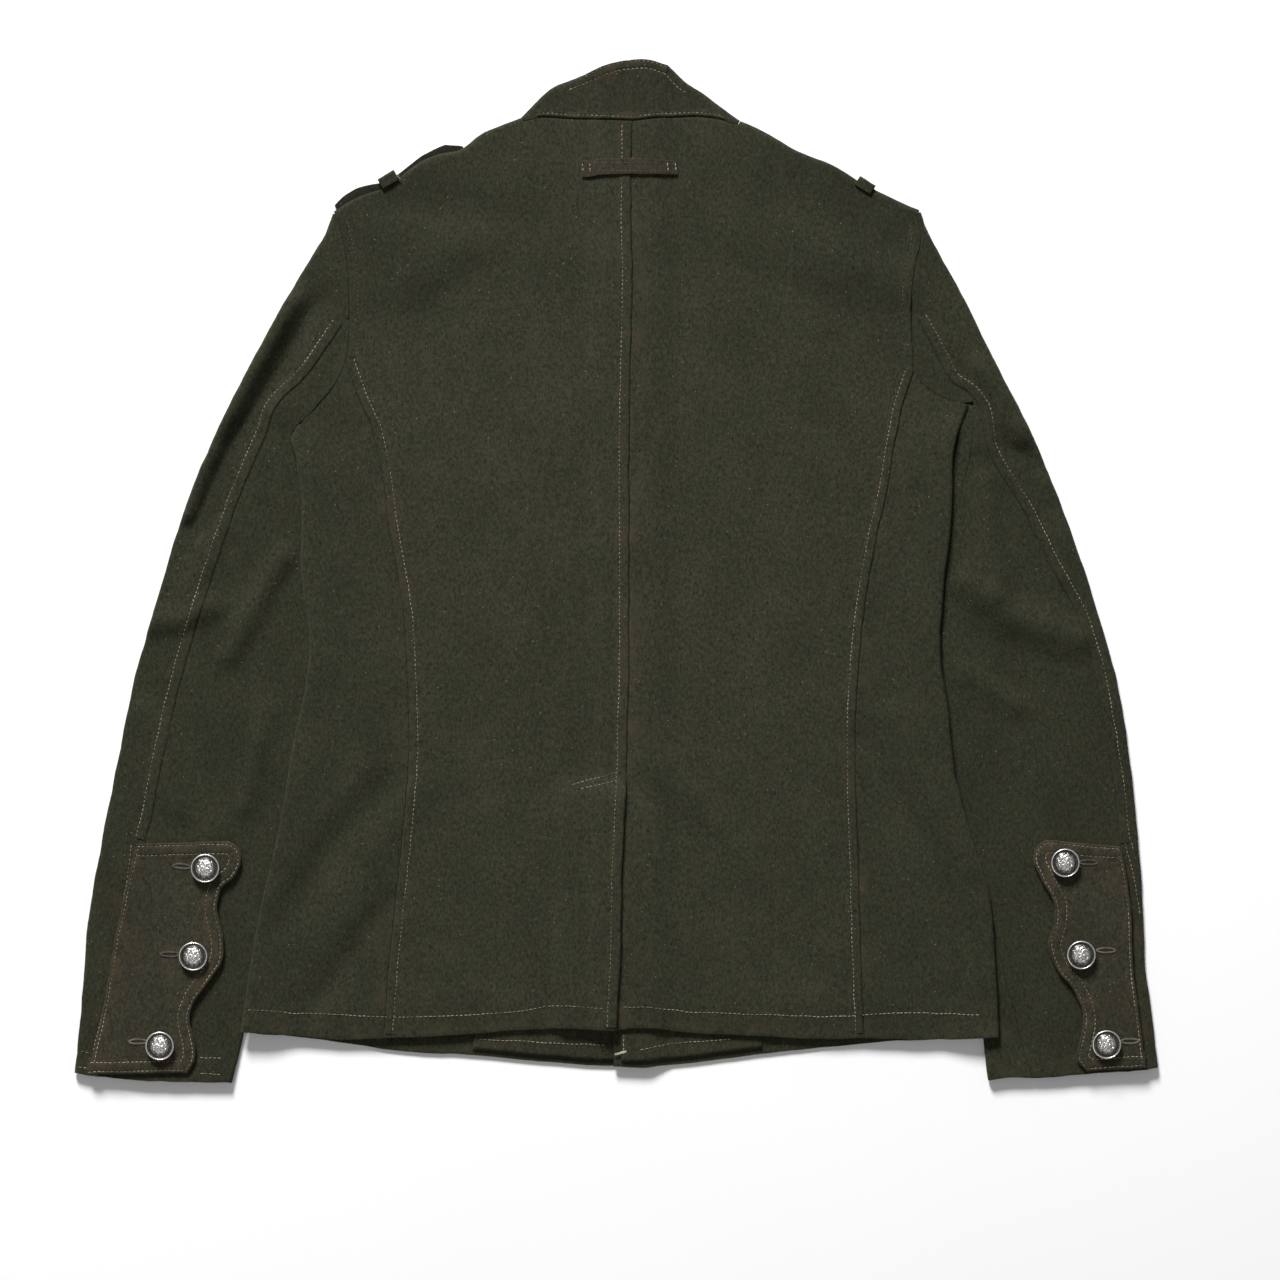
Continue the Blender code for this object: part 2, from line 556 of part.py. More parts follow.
def front_panels(key, s, collection):
    side = s["table"]
    arm = s["arm"].copy()
    arm[0] = s["shoulder_seam"][0]
    first = np.vstack([arm[:-1 - ARM["pit"]], s["side_seam"]])
    rows = len(first) - 1
    closing_x = side["closing_x"]
    edge = stations(line(side["front_edge"]), (rows,))
    middle = edge + np.array([closing_x - edge[0, 0], 0.0])
    middle[0] = s["neckline"][-1]
    neckline = s["neckline"].copy()
    neckline[0] = s["shoulder_seam"][-1]
    top = np.vstack([s["shoulder_seam"], neckline[1:]])
    hem_line = line(side["front_hem"])
    hem = stations(cut(hem_line, None, closing_x), (SHOULDER_COLUMNS, NECK_COLUMNS),
                   (side["facing_hem"],))
    middle[-1] = hem[-1]
    edge[-1] = hem_line[-1]
    height = lower_z if key == "left" else front_right_z
    main_part = with_height(patch(first, middle, SHOULDER_COLUMNS + NECK_COLUMNS, top, hem), height)
    main_part = pull_in(pull_in(main_part, ("first",)), ("top",), 0.3)
    lap = with_height(patch(middle, edge, 1), height)
    lap[:, 0] = main_part[:, -1]
    cloth("front_" + key, [main_part, lap], WALL, WOOL_COLOUR, collection)
    facing = np.concatenate([main_part[:, SHOULDER_COLUMNS:], lap[:, 1:]], axis=1)
    facing = pull_in(facing, ("last", "bottom"), 1.5)
    facing = pull_in(facing, ("top",), 1.0)
    facing[..., 2] += (WALL + FACING_WALL) / 2 + LAYER_GAP
    cloth("facing_" + key, [facing], FACING_WALL, WOOL_COLOUR, collection)


def sleeve_panels(key, s, collection):
    side = s["table"]
    arm, elbow = s["arm"], s["elbow"]
    pit = ARM["princess"] + ARM["seam"] + ARM["pit"]
    cuff = line(side["cuff"])
    whole = stations(cuff, (40,))

    def cuff_between(a, b, n):
        along = lengths(whole)
        at = [along[np.argmin(np.hypot(*(whole - p).T))] for p in (a, b)]
        points = np.column_stack([np.interp(np.linspace(at[0], at[1], n + 1), along, whole[:, k])
                                  for k in (0, 1)])
        ends = np.linspace(0, 1, n + 1)[:, None]
        return points + (a - points[0]) * (1 - ends) + (b - points[-1]) * ends

    ends = (elbow[-1], s["outer_in"][-1], s["inner_in"][-1])
    first = np.vstack([arm[:ARM["elbow"]], elbow])
    top_up = patch(first, s["outer_in"], 4, None, cuff_between(ends[0], ends[1], 4))
    top_up = pull_in(with_height(top_up, sleeve_z), ("first",))
    top_up[0] = top_up[0, -1]
    line_out = top_up[:, -1]
    xy = line_out[:, :2]
    turn = fold_round(xy, s["outer_out"], s["outer_reach"], line_out[:, 2],
                      lower_z(xy[:, 0], xy[:, 1]))
    inseam_low = stations(line(side["inseam"]), (SLEEVE_ROWS,))
    if key == "left":
        inseam_low[0] = arm[-1 - ARM["pit"]]
        last = np.vstack([arm[:-1 - ARM["pit"]], inseam_low[:1], inseam_low])
    else:
        last = np.vstack([arm[:-1], s["inner_in"]])
    low = patch(s["outer_in"], last, 5, None, cuff_between(ends[1], last[-1], 5))
    low = with_height(low, lower_z)
    low[:, 0] = turn[:, -1]
    low[0] = low[0, 0]
    grids = [top_up, turn, low]
    if key == "left":
        low[:] = pull_in(low, ("last",))
    else:
        low[:ARM["elbow"] + pit] = pull_in(low, ("last",))[:ARM["elbow"] + pit]
        inner_low = low[ARM["elbow"] + pit:, -1]
        upper = sleeve_z(s["inner_in"][:, 0], s["inner_in"][:, 1])
        bend = fold_round(s["inner_in"], s["inner_out"], s["inner_reach"], upper, inner_low[:, 2])
        bend[:, -1] = inner_low
        inseam = inseam_low
        strip = patch(s["inner_in"], inseam, 2, None, cuff_between(ends[2], inseam[-1], 2))
        strip = pull_in(with_height(strip, sleeve_z), ("last",))
        strip[0] = strip[0, 0]
        strip[:, 0] = bend[:, 0]
        strip[0] = bend[0, 0]
        grids += [bend, strip]
    start_row(grids)
    cloth("top_sleeve_" + key, grids, WALL, WOOL_COLOUR, collection)

    if key == "left":
        last = np.vstack([arm[ARM["elbow"]:-1], s["inner_in"]])
    else:
        last = np.vstack([arm[ARM["elbow"]:-1], inseam_low])
    up = patch(elbow, last, 5, None, cuff_between(ends[0], last[-1], 5))
    up = with_height(up, sleeve_z)
    up = pull_in(up, ("first",))
    if key == "right":
        up = pull_in(up, ("last",))
        up[0] = up[0, 0]
        cut = up[0].copy()
        up[0] = cut + (up[1] - cut) * 0.12
        cloth("under_sleeve_right", [up], WALL, WOOL_COLOUR, collection)
        return
    up[:pit] = pull_in(up, ("last",))[:pit]
    cut = up[0].copy()
    up[0] = cut + (up[1] - cut) * 0.12
    inner_line = up[pit:, -1]
    xy = inner_line[:, :2]
    bend = fold_round(xy, s["inner_out"], s["inner_reach"], inner_line[:, 2],
                      lower_z(xy[:, 0], xy[:, 1]))
    tail = patch(s["inner_in"], inseam_low, 1)
    tail = with_height(tail, lower_z)
    tail[:, 0] = bend[:, -1]
    tail = pull_in(tail, ("last",))
    cloth("under_sleeve_left", [up, bend, tail], WALL, WOOL_COLOUR, collection)


def start_row(grids):
    """Opens the pointed start of the sleeve at the shoulder by the seam gap."""
    for grid in grids[:3]:
        grid[0] = grid[0] + (grid[1] - grid[0]) * 0.08


def collar_band(halves, collection):
    left, right = halves
    base = np.vstack([left["neck"], right["neck"][::-1][1:]])
    n = len(base) - 1
    base = base + np.array([0.0, SEAM_GAP])
    crown = stations(line(COLLAR_TOP), (n,))
    grids = []
    slopes = []
    rows = 4
    for s, away in ((left, -1.0), (right, 1.0)):
        p = stations(line(s["table"]["slope"]), (rows,))
        out = outward(p, (away * 0.6, 0.8))
        out[0] = (away * 0.5, 0.87)
        reach = (BACK_MID - FLOOR_MID) / 2
        inset = p - out * (reach + WALL / 2)
        neck = s["neck"]
        run = (neck[1] - neck[0]) / np.hypot(*(neck[1] - neck[0]))
        inset[0] = neck[0] + np.array([0.0, SEAM_GAP]) + run * 0.4
        slopes.append((p, out, inset, reach))
    crown = crown + (slopes[0][2][-1] - crown[0]) * (1 - np.linspace(0, 1, n + 1))[:, None]
    crown = crown + (slopes[1][2][-1] - crown[-1]) * np.linspace(0, 1, n + 1)[:, None]
    base[0], base[-1] = slopes[0][2][0], slopes[1][2][0]
    grid = patch(slopes[0][2], slopes[1][2], n, base, crown)
    upper = with_height(grid, back_z)
    grids.append(upper)
    for s, slope, column, height in ((left, slopes[0], 0, lower_z), (right, slopes[1], -1, front_right_z)):
        p, out, inset, reach = slope
        top = upper[:, column]
        low = lower_z(top[:, 0], top[:, 1])
        turn = fold_round(top[:, :2], out, np.full(rows + 1, reach), top[:, 2], low)
        foot = s["neckline"] + outward(s["neckline"], (0.0, 1.0)) * (SEAM_GAP + 0.3)
        head = stations(line(s["table"]["collar_front"]), (NECK_COLUMNS,))
        head = head + (inset[-1] - head[0]) * (1 - np.linspace(0, 1, NECK_COLUMNS + 1))[:, None]
        foot[0] = inset[0]
        centre = np.column_stack([np.linspace(foot[-1, k], head[-1, k], rows + 1) for k in (0, 1)])
        half = with_height(patch(inset, centre, NECK_COLUMNS, foot, head), height)
        half[:, 0] = turn[:, -1]
        grids += [turn, half]
    cloth("collar", grids, WALL, WOOL_COLOUR, collection)


def tab(key, s, collection):
    side = s["table"]
    rows = 14
    first = stations(line(side["tab_in"]), (rows,))
    last = stations(line(side["tab_out"]), (rows,))
    lift = (WALL + TAB_WALL) / 2 + LAYER_GAP + 0.1
    grid = with_height(patch(first, last, 5), lambda x, y: sleeve_z(x, y, 0.0) + lift)
    cloth("cuff_tab_" + key, [grid], TAB_WALL, TRIM_COLOUR, collection)
    return lift + TAB_WALL / 2


def strap(key, s, collection):
    p = np.array(s["table"]["strap"], float)
    first = np.vstack([p[1], p[1] + (p[2] - p[1]) * 0.96])
    last = np.vstack([p[4], p[4] + (p[3] - p[4]) * 0.96])
    first = stations(first, (8,))
    last = stations(last, (8,))
    tip = stations(np.vstack([p[1], p[0], p[4]]), (4,))

    def height(x, y):
        out, into = loop_path(s["table"])
        away = segment_distance(x, y, (out[0], out[1], into[0], into[1])) - 17.0
        return STRAP_WALL / 2 + (LOOP_WALL + LAYER_GAP) * smooth(1 - away / 14.0)

    grid = with_height(patch(first, last, 4, tip, None), height)
    cloth("shoulder_strap_" + key, [grid], STRAP_WALL, TRIM_COLOUR, collection)


def strap_loop(key, s, collection):
    """A strip from the back over the shoulder's edge and along under the strap."""
    out, into = loop_path(s["table"])
    start = np.array(s["table"]["loop"][0], float)
    run = (out - start) / np.hypot(*(out - start))
    across = np.array([run[1], -run[0]]) * 5.5
    along = np.linspace(-8.0, np.hypot(*(out - start)), 5)
    top = start + along[:, None] * run
    z_top = back_z(top[:, 0], top[:, 1])
    lift = (WALL + LOOP_WALL) / 2 + LAYER_GAP + 0.2
    z_top = np.maximum.accumulate(z_top[::-1])[::-1] + lift
    angle = np.linspace(np.pi / 2, -np.pi / 2, 7)[1:]
    radius = (z_top[-1] - LOOP_WALL / 2) / 2
    turn = out + run * (3.0 * np.cos(angle))[:, None]
    z_turn = LOOP_WALL / 2 + radius * (1 + np.sin(angle))
    below = stations(np.vstack([out, into]), (5,))[1:]
    path = np.vstack([top, turn, below])
    z = np.concatenate([z_top, z_turn, np.full(len(below), LOOP_WALL / 2)])
    grid = np.stack([np.column_stack([path + across * k, z]) for k in (-1.0, 0.0, 1.0)], axis=1)
    cloth("strap_loop_" + key, [grid], LOOP_WALL, TRIM_COLOUR, collection)


def hanger(collection):
    p = np.array(HANGER, float)
    first = stations(p[[0, 3]], (2,))
    last = stations(p[[1, 2]], (2,))
    grid = patch(first, last, 10)
    lift = (WALL + HANGER_WALL) / 2 + LAYER_GAP - 0.3
    bow = 1.6 * np.sin(np.pi * np.linspace(0, 1, 11)) ** 2
    place = with_height(grid, lambda x, y: np.maximum(back_z(x - 9.0, y), back_z(x + 9.0, y)) + lift)
    place[..., 2] = np.max(place[..., 2], axis=0)[None, :] + bow[None, :]
    place[..., 1] += (1.2 * np.sin(np.pi * np.linspace(0, 1, 11)))[None, :]
    cloth("hanger_loop", [place], HANGER_WALL, TRIM_COLOUR, collection)


def button(name, centre, base, collection):
    """A domed metal button with a rim, turned round its own middle."""
    rim = BUTTON_RADIUS
    profile = ((0.0, 5.6), (0.45 * rim, 5.2), (0.78 * rim, 4.2), (0.86 * rim, 4.1), (0.94 * rim, 4.7),
               (rim, 4.0), (0.93 * rim, 2.9), (0.35 * rim, 2.2), (0.28 * rim, 0.0), (0.0, 0.0))
    mesh = bpy.data.meshes.new(name)
    mesh.from_pydata([(r * MM, 0.0, z * MM) for r, z in profile],
                     [(i, i + 1) for i in range(len(profile) - 1)], [])
    obj = bpy.data.objects.new(name, mesh)
    obj.data.materials.append(material(name + "_metal", METAL_COLOUR, 0.35, 1.0))
    turn = obj.modifiers.new("turned", "SCREW")
    turn.steps = BUTTON_STEPS
    turn.render_steps = BUTTON_STEPS
    turn.use_merge_vertices = True
    turn.merge_threshold = 0.0001
    turn.use_normal_calculate = True
    turn.use_smooth_shade = True
    obj.location = ((centre[0] + ORIGIN_X) * MM, (centre[1] + ORIGIN_Y) * MM, base * MM)
    collection.objects.link(obj)


def main():
    clear_scene()
    jacket = bpy.data.collections.new("wool_military_jacket")
    bpy.context.scene.collection.children.link(jacket)
    halves = {key: seams(key) for key in ("left", "right")}
    for key, s in halves.items():
        body_panels(key, s, jacket)
        front_panels(key, s, jacket)
        sleeve_panels(key, s, jacket)
        lift = tab(key, s, jacket)
        strap(key, s, jacket)
        strap_loop(key, s, jacket)
        for number, centre in enumerate(s["table"]["buttons"], 1):
            x, y = (np.array([c], float) for c in centre)
            base = float(sleeve_z(x, y, 0.0)[0]) + lift + LAYER_GAP
            button("button_%s_%d" % (key, number), centre, base, jacket)
    collar_band((halves["left"], halves["right"]), jacket)
    hanger(jacket)


main()
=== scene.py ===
"""Wool military jacket laid flat, back up: the fine cloth, sewing and buttons on the CAD frame."""

import math

import bmesh
import bpy
import numpy as np
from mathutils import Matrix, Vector


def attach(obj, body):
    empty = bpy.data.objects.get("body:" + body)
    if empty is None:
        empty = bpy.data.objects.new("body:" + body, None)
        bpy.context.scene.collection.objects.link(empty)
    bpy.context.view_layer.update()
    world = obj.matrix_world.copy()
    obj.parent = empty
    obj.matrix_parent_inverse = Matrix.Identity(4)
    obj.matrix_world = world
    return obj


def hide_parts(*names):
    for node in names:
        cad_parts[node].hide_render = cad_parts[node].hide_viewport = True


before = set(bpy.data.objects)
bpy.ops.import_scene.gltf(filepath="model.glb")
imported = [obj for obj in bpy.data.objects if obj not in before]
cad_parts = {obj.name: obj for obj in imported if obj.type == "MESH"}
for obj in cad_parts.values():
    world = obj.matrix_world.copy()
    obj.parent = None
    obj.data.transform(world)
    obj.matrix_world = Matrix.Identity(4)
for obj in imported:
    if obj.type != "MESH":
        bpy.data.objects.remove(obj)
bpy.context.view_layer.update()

# Lengths and heights are in millimetres up to the meshes
MM = 0.001
WALL = 2.2
SEAM_GAP = 0.3
LAYER_GAP = 0.3

# Heights of the middle of each layer of cloth above the floor
FLOOR_MID = WALL / 2
BACK_MID = 6.5
SLEEVE_MID = 5.6
LIP_MID = 6.7
FACING_WALL = 1.2
TAB_WALL = 1.8
STRAP_WALL = 2.0
LOOP_WALL = 1.0
HANGER_WALL = 1.4

# How far the closing, the vent and the sleeves under the body lift the cloth over them
FRONT_STEP = 4.0
HUMP = 3.7
VENT_STEP = 3.6
VENT_TOP = -148.0
UNDERLAP_WIDTH = 34.0
SIDE_RISE = 3.5
SIDE_RISE_WIDTH = 50.0
SLEEVE_DIP = 1.5
EDGE_DIP = 0.8
HEM_DROP = 1.0
TUCK = 9.0
DESCENT = 8.0
SHOULDER_TURN = 3.0
PIT_GAP = 0.8
CLOSING_TOP = 26.0
CLOSING_END = 48.0

# The upper layer of a sleeve stays clear of the lower one, with a soft stop
LOWEST_TOP = 3.4
STOP_SOFTNESS = 0.4

# The smallest reach of the cloth round the side edge and the sleeve's inner edge
EDGE_REACH = 1.65
INNER_REACH = 1.6

# How far along their lines the corners of the pieces are drawn to each other
PIT_SETTLE = 24.0
PIT_TURN = 26.0
TIP_SETTLE = 16.0
TIP_TURN = 18.0
SHOULDER_SETTLE = 14.0

BUTTON_RADIUS = 10.8
ORIGIN = (0.0, 1.4, 0.0)

# How far the rows of stitches lie from the seam or the edge beside them
CENTRE_ROW = 7.5
PRINCESS_ROW = 6.5
ARMHOLE_ROW = 7.0
ELBOW_ROW = {"left": 8.0, "right": 7.5}
NECK_ROW = 3.0
COLLAR_ROWS = (1.7, 7.0)
TAB_EDGE_ROWS = (2.2, 9.0)
STITCH_STEP = 1.3

# Where the sleeves' folds fade out at the shoulder and at the tab
FOLDS_TOP = 222.0
FOLDS_END = -204.0
FOLDS_FADE = 30.0

# The lift over the straps: half the width that lies flat on them, and the slope beside it
STRAP_FLAT = 44.0
STRAP_SLOPE = 30.0
LOOP_RUN = 46.0

# The photograph: millimetres a pixel, and the pixel at the origin
PIXEL = 0.75
ZERO_X, ZERO_Y = 616.5, 570.0

# The camera's view, in metres
VIEW_WIDTH = 0.96
VIEW_X, VIEW_Y, VIEW_Z = 0.0176, -0.0511, 0.008

# Outlines and seams of each half, every row is x, y from the neck or shoulder down
LEFT = {
    "neck": ((-70, 338), (-56, 341), (-41, 340), (-15, 339), (12, 338)),
    "shoulder": ((-212, 271), (-187, 284), (-175, 288), (-164, 295), (-151, 305), (-134, 313),
                 (-117, 317), (-102, 328), (-72, 341)),
    "armhole": ((-211, 267), (-207, 255), (-203, 237), (-201, 212), (-201, 186), (-203, 160),
                (-210, 143), (-224, 126), (-238, 111)),
    "princess": ((-203, 158), (-194, 132), (-183, 106), (-176, 73), (-170, 30), (-160, -30),
                 (-157, -80), (-156, -140), (-161, -201), (-169, -276), (-175, -350)),
    "edge": ((-238, 111), (-243, 100), (-240, 83), (-237, 64), (-236, -3), (-230, -52),
             (-234, -90), (-240, -117), (-255, -201), (-266, -248), (-277, -311), (-282, -345)),
    "hem": ((-175, -350), (-123, -348), (-84, -345), (-51, -343), (0, -344)),
    "side_hem": ((-282, -345), (-245, -348), (-206, -351), (-175, -350)),
    "outer": ((-212, 271), (-218, 256), (-241, 217), (-274, 157), (-304, 97), (-328, 37), (-346, -23),
              (-363, -83), (-375, -143), (-387, -203), (-397, -263), (-402, -323), (-407, -376)),
    "elbow": ((-201, 191), (-237, 142), (-253, 127), (-265, 98), (-282, 58), (-303, -3), (-320, -58),
              (-330, -94), (-342, -150), (-353, -200), (-366, -238), (-376, -275), (-385, -328),
              (-396, -378)),
    "inner": ((-238.4, 110.4), (-243.4, 99.4), (-240, 83), (-233, 62), (-227, 30), (-227, -3), (-221, -52),
              (-225, -92), (-231, -119), (-247, -202), (-258, -249), (-271, -311), (-280, -346),
              (-289, -384)),
    "inseam": ((-224, 126), (-248, 112), (-261, 92), (-259, 70), (-248, 30), (-246, -3), (-240, -52),
               (-244, -92), (-251, -122), (-267, -206), (-278, -253), (-291, -314), (-300, -348),
               (-308, -383)),
    "cuff": ((-407, -376), (-377, -379), (-350, -382), (-323, -383), (-289, -384)),
    "side_seam": ((-224, 126), (-212, 104), (-208, 64), (-207, -3), (-201, -52), (-205, -90),
                  (-211, -117), (-226, -201), (-237, -248), (-248, -311), (-254, -347)),
    "front_edge": ((18, 272), (18, 150), (18, -100), (18, -370)),
    "closing_x": 7,
    "neckline": ((-70, 338), (-52, 308), (-28, 285), (0, 275), (18, 272)),
    "front_hem": ((-254, -348), (-211, -353), (-162, -360), (-109, -363), (-54, -368), (-7, -371),
                  (18, -370)),
    "facing_hem": (-108, -363),
    "slope": ((-72, 341), (-67, 346), (-49, 363), (-30, 371), (-23, 374)),
    "collar_front": ((-23, 374), (-30, 348), (-12, 325), (6, 318)),
    "tab_in": ((-360, -204), (-367, -234), (-376, -275), (-385, -328), (-396, -377)),
    "tab_out": ((-291, -202), (-284.5, -206), (-281.5, -216), (-286, -228), (-296, -237),
                (-299, -248), (-295, -276), (-296, -293), (-303, -304), (-317, -324), (-320, -334),
                (-316, -356), (-317, -368), (-322, -376)),
    "strap": ((-116, 321), (-129, 321), (-210, 273), (-188, 232), (-100, 282)),
    "strap_edge": ((-129, 321), (-141, 316), (-150, 310.5), (-166, 298), (-178, 292.5), (-187, 291),
                   (-196, 288), (-205, 282.5), (-212, 275.5)),
    "loop": ((-169, 290.5), (-172.5, 296.5)),
    "buttons": ((-308, -222), (-317, -288), (-342, -355)),
}
RIGHT = {
    "neck": ((91, 335), (66, 341), (36, 340), (12, 338)),
    "shoulder": ((225, 272), (195, 286), (180, 294), (162, 305), (140, 314), (105, 333), (93, 338)),
    "armhole": ((226, 268), (228, 248), (224, 229), (222, 214), (221, 190), (222, 166), (223, 150),
                (236, 136), (250, 129), (262, 126)),
    "princess": ((223, 150), (215, 124), (209, 97), (204, 65), (196, 29), (185, -37), (180, -105),
                 (180, -170), (182, -228), (184, -300), (186, -350)),
    "edge": ((262, 126), (257, 108), (253, 89), (252, 65), (251, 38), (245, -15), (243, -65),
             (249, -107), (253, -147), (267, -202), (280, -246), (284, -290), (287, -349)),
    "hem": ((186, -350), (159, -351), (98, -348), (54, -346), (22, -342), (0, -344)),
    "side_hem": ((287, -349), (235, -351), (186, -350)),
    "outer": ((225, 272), (237, 248), (255, 217), (285, 157), (315, 97), (339, 37), (359, -22),
              (376, -82), (386, -143), (392, -203), (396, -262), (397, -292), (401, -325), (407, -372)),
    "elbow": ((221, 197), (234, 175), (243, 158), (252, 142), (263, 135), (271, 125), (278, 94),
              (307, 43), (324, 7), (347, -36), (357, -68), (369, -130), (375, -170), (378, -203),
              (384, -232), (387, -258), (388, -290), (392, -325), (398, -374)),
    "inner": ((262.4, 125.6), (257.4, 108.4), (253.2, 90), (248, 66), (243, 36), (236, -15), (234, -65),
              (240, -107), (245, -147), (258, -202), (269, -246), (272, -290), (276, -351),
              (279, -382)),
    "inseam": ((268, 128), (268, 108), (266, 90), (260, 64), (252, 33), (246, -15), (245, -65),
               (251, -107), (258, -160), (269, -214), (279, -251), (292, -304), (306, -359),
               (312, -379)),
    "cuff": ((407, -372), (375, -375), (341, -378), (318, -380), (293, -380), (279, -382)),
    "side_seam": ((250, 129), (231, 104), (225, 80), (223, 62), (221, 36), (216, -15), (214, -65),
                  (220, -107), (225, -147), (238, -202), (251, -246), (255, -290), (258, -350)),
    "front_edge": ((-2, 274), (-2, 150), (-2, -100), (-2, -371)),
    "closing_x": 21,
    "neckline": ((91, 335), (75, 305), (48, 284), (18, 275), (-2, 274)),
    "front_hem": ((258, -351), (219, -352), (159, -357), (112, -362), (88, -365), (34, -371),
                  (3, -372), (-2, -371)),
    "facing_hem": (109, -363),
    "slope": ((93, 338), (77, 350), (67, 358), (52, 368), (39, 380)),
    "collar_front": ((39, 380), (46, 350), (34, 325), (22, 318)),
    "tab_in": ((378, -206), (383, -232), (386, -258), (387, -290), (391, -325), (397, -372)),
    "tab_out": ((322, -201), (315.5, -205), (312.5, -213), (319, -231), (328, -249), (328, -263),
                (324, -280), (330, -298), (344, -316), (350, -336), (346, -357), (345, -365),
                (353, -375)),
    "strap": ((107, 318), (119, 321), (214, 273), (194, 232), (98, 282)),
    "strap_edge": ((119, 321), (150, 303), (185, 288.5), (205, 280.5), (216, 277), (224, 272)),
    "loop": ((184.5, 286.5), (187.5, 291.5)),
    "buttons": ((336, -218), (348, -287), (367, -354)),
}
CENTRE_BACK = ((12, 338), (11, 283), (12, 225), (10, 127), (9, -98), (7, -170), (4, -235), (3, -289),
               (0, -344))
OUTWARDS = {"left": (LEFT, -1.0), "right": (RIGHT, 1.0)}
COLLAR_TOP = ((-23, 374), (-11, 379), (11, 384), (23, 384), (39, 380))
HANGER = ((-28, 309), (45, 308), (46, 297), (-26, 296))

# Where the sleeve's section lines cross the outer edge and the elbow seam, x, y
MATCH = {
    "left": {"arm_elbow": (-201, 191), "arm_princess": (-203, 158), "arm_seam": (-224, 126),
             "outer_elbow": (-245, 211), "outer_pit": (-286, 134), "elbow_pit": (-257, 121)},
    "right": {"arm_elbow": (221, 197), "arm_princess": (223, 150), "arm_seam": (250, 129),
              "outer_elbow": (262, 204), "outer_pit": (298, 131), "elbow_pit": (270, 128)},
}

# Soft folds, one a row: half width, height, then the points that it runs through
BODY_FOLDS = (
    (12, -2.6, (-170, -158), (-212, -205), (-260, -274)),
    (13, 1.6, (-150, -165), (-190, -226), (-236, -282)),
    (11, 1.4, (-192, -148), (-226, -192), (-262, -242)),
    (11, -1.9, (-170, -248), (-222, -322)),
    (9, 1.0, (-190, -246), (-240, -310)),
    (14, -1.8, (-219, -92), (-226, -110)),
    (15, -1.9, (-147, 188), (-144, 90)),
    (16, 0.9, (-122, 170), (-120, 80)),
    (11, -2.8, (186, -128), (230, -200), (270, -285)),
    (12, 1.9, (166, -142), (246, -300)),
    (10, 2.1, (208, -108), (266, -220)),
    (13, -1.4, (18, -158), (70, -205), (145, -300)),
    (13, 0.8, (40, -150), (160, -290)),
    (9, -0.6, (-132, -172), (-35, -161)),
    (17, -1.9, (-192, 283), (-130, 272), (-72, 266)),
    (15, 0.9, (-180, 255), (-80, 240)),
    (19, -1.9, (120, 285), (205, 248)),
    (15, 0.9, (130, 255), (200, 220)),
    (30, 0.8, (-60, 120), (-52, -60)),
    (32, -0.8, (80, 150), (90, -40)),
    (24, -0.7, (-100, -20), (-110, -120)),
)
SLEEVE_FOLDS = (
    (9, -3.4, (-219, 214), (-256, 146), (-285, 93), (-312, 36)),
    (8, 6.4, (-237, 214), (-271, 153), (-300, 98), (-322, 44)),
    (7, -2.6, (-264, 108), (-245, 92)),
    (8, 1.4, (-278, 96), (-266, 60)),
    (9, -2.9, (-234, -4), (-250, -40), (-270, -78)),
    (10, 5.2, (-252, 10), (-273, -27), (-291, -60)),
    (9, -2.2, (-352, -66), (-326, -62), (-298, -54)),
    (10, 4.4, (-352, -38), (-328, -36), (-304, -26)),
    (6, -2.0, (-246, -120), (-264, -240)),
    (9, 3.2, (-263, -106), (-278, -176)),
    (12, 2.4, (-298, 34), (-320, -14)),
    (10, -1.9, (-336, -95), (-318, -132), (-306, -172)),
    (11, 3.0, (-354, -106), (-338, -146), (-328, -180)),
    (13, -3.2, (218, 204), (242, 160), (264, 124)),
    (9, -2.3, (262, 128), (290, 92), (321, 45)),
    (6, 0.9, (214, 196), (243, 146)),
    (10, 3.4, (274, 152), (306, 104)),
    (7, -1.6, (256, 95), (252, -30)),
    (8, 3.4, (277, 68), (286, -16)),
    (8, -2.4, (301, 85), (308, -10)),
    (10, 2.6, (322, 66), (334, -2)),
    (7, -2.7, (254, -38), (278, -56), (300, -68), (347, -79)),
    (14, 5.0, (262, -8), (292, -32), (345, -49)),
    (10, 2.4, (262, -76), (300, -100)),
    (11, 1.4, (300, -130), (318, -180)),
)

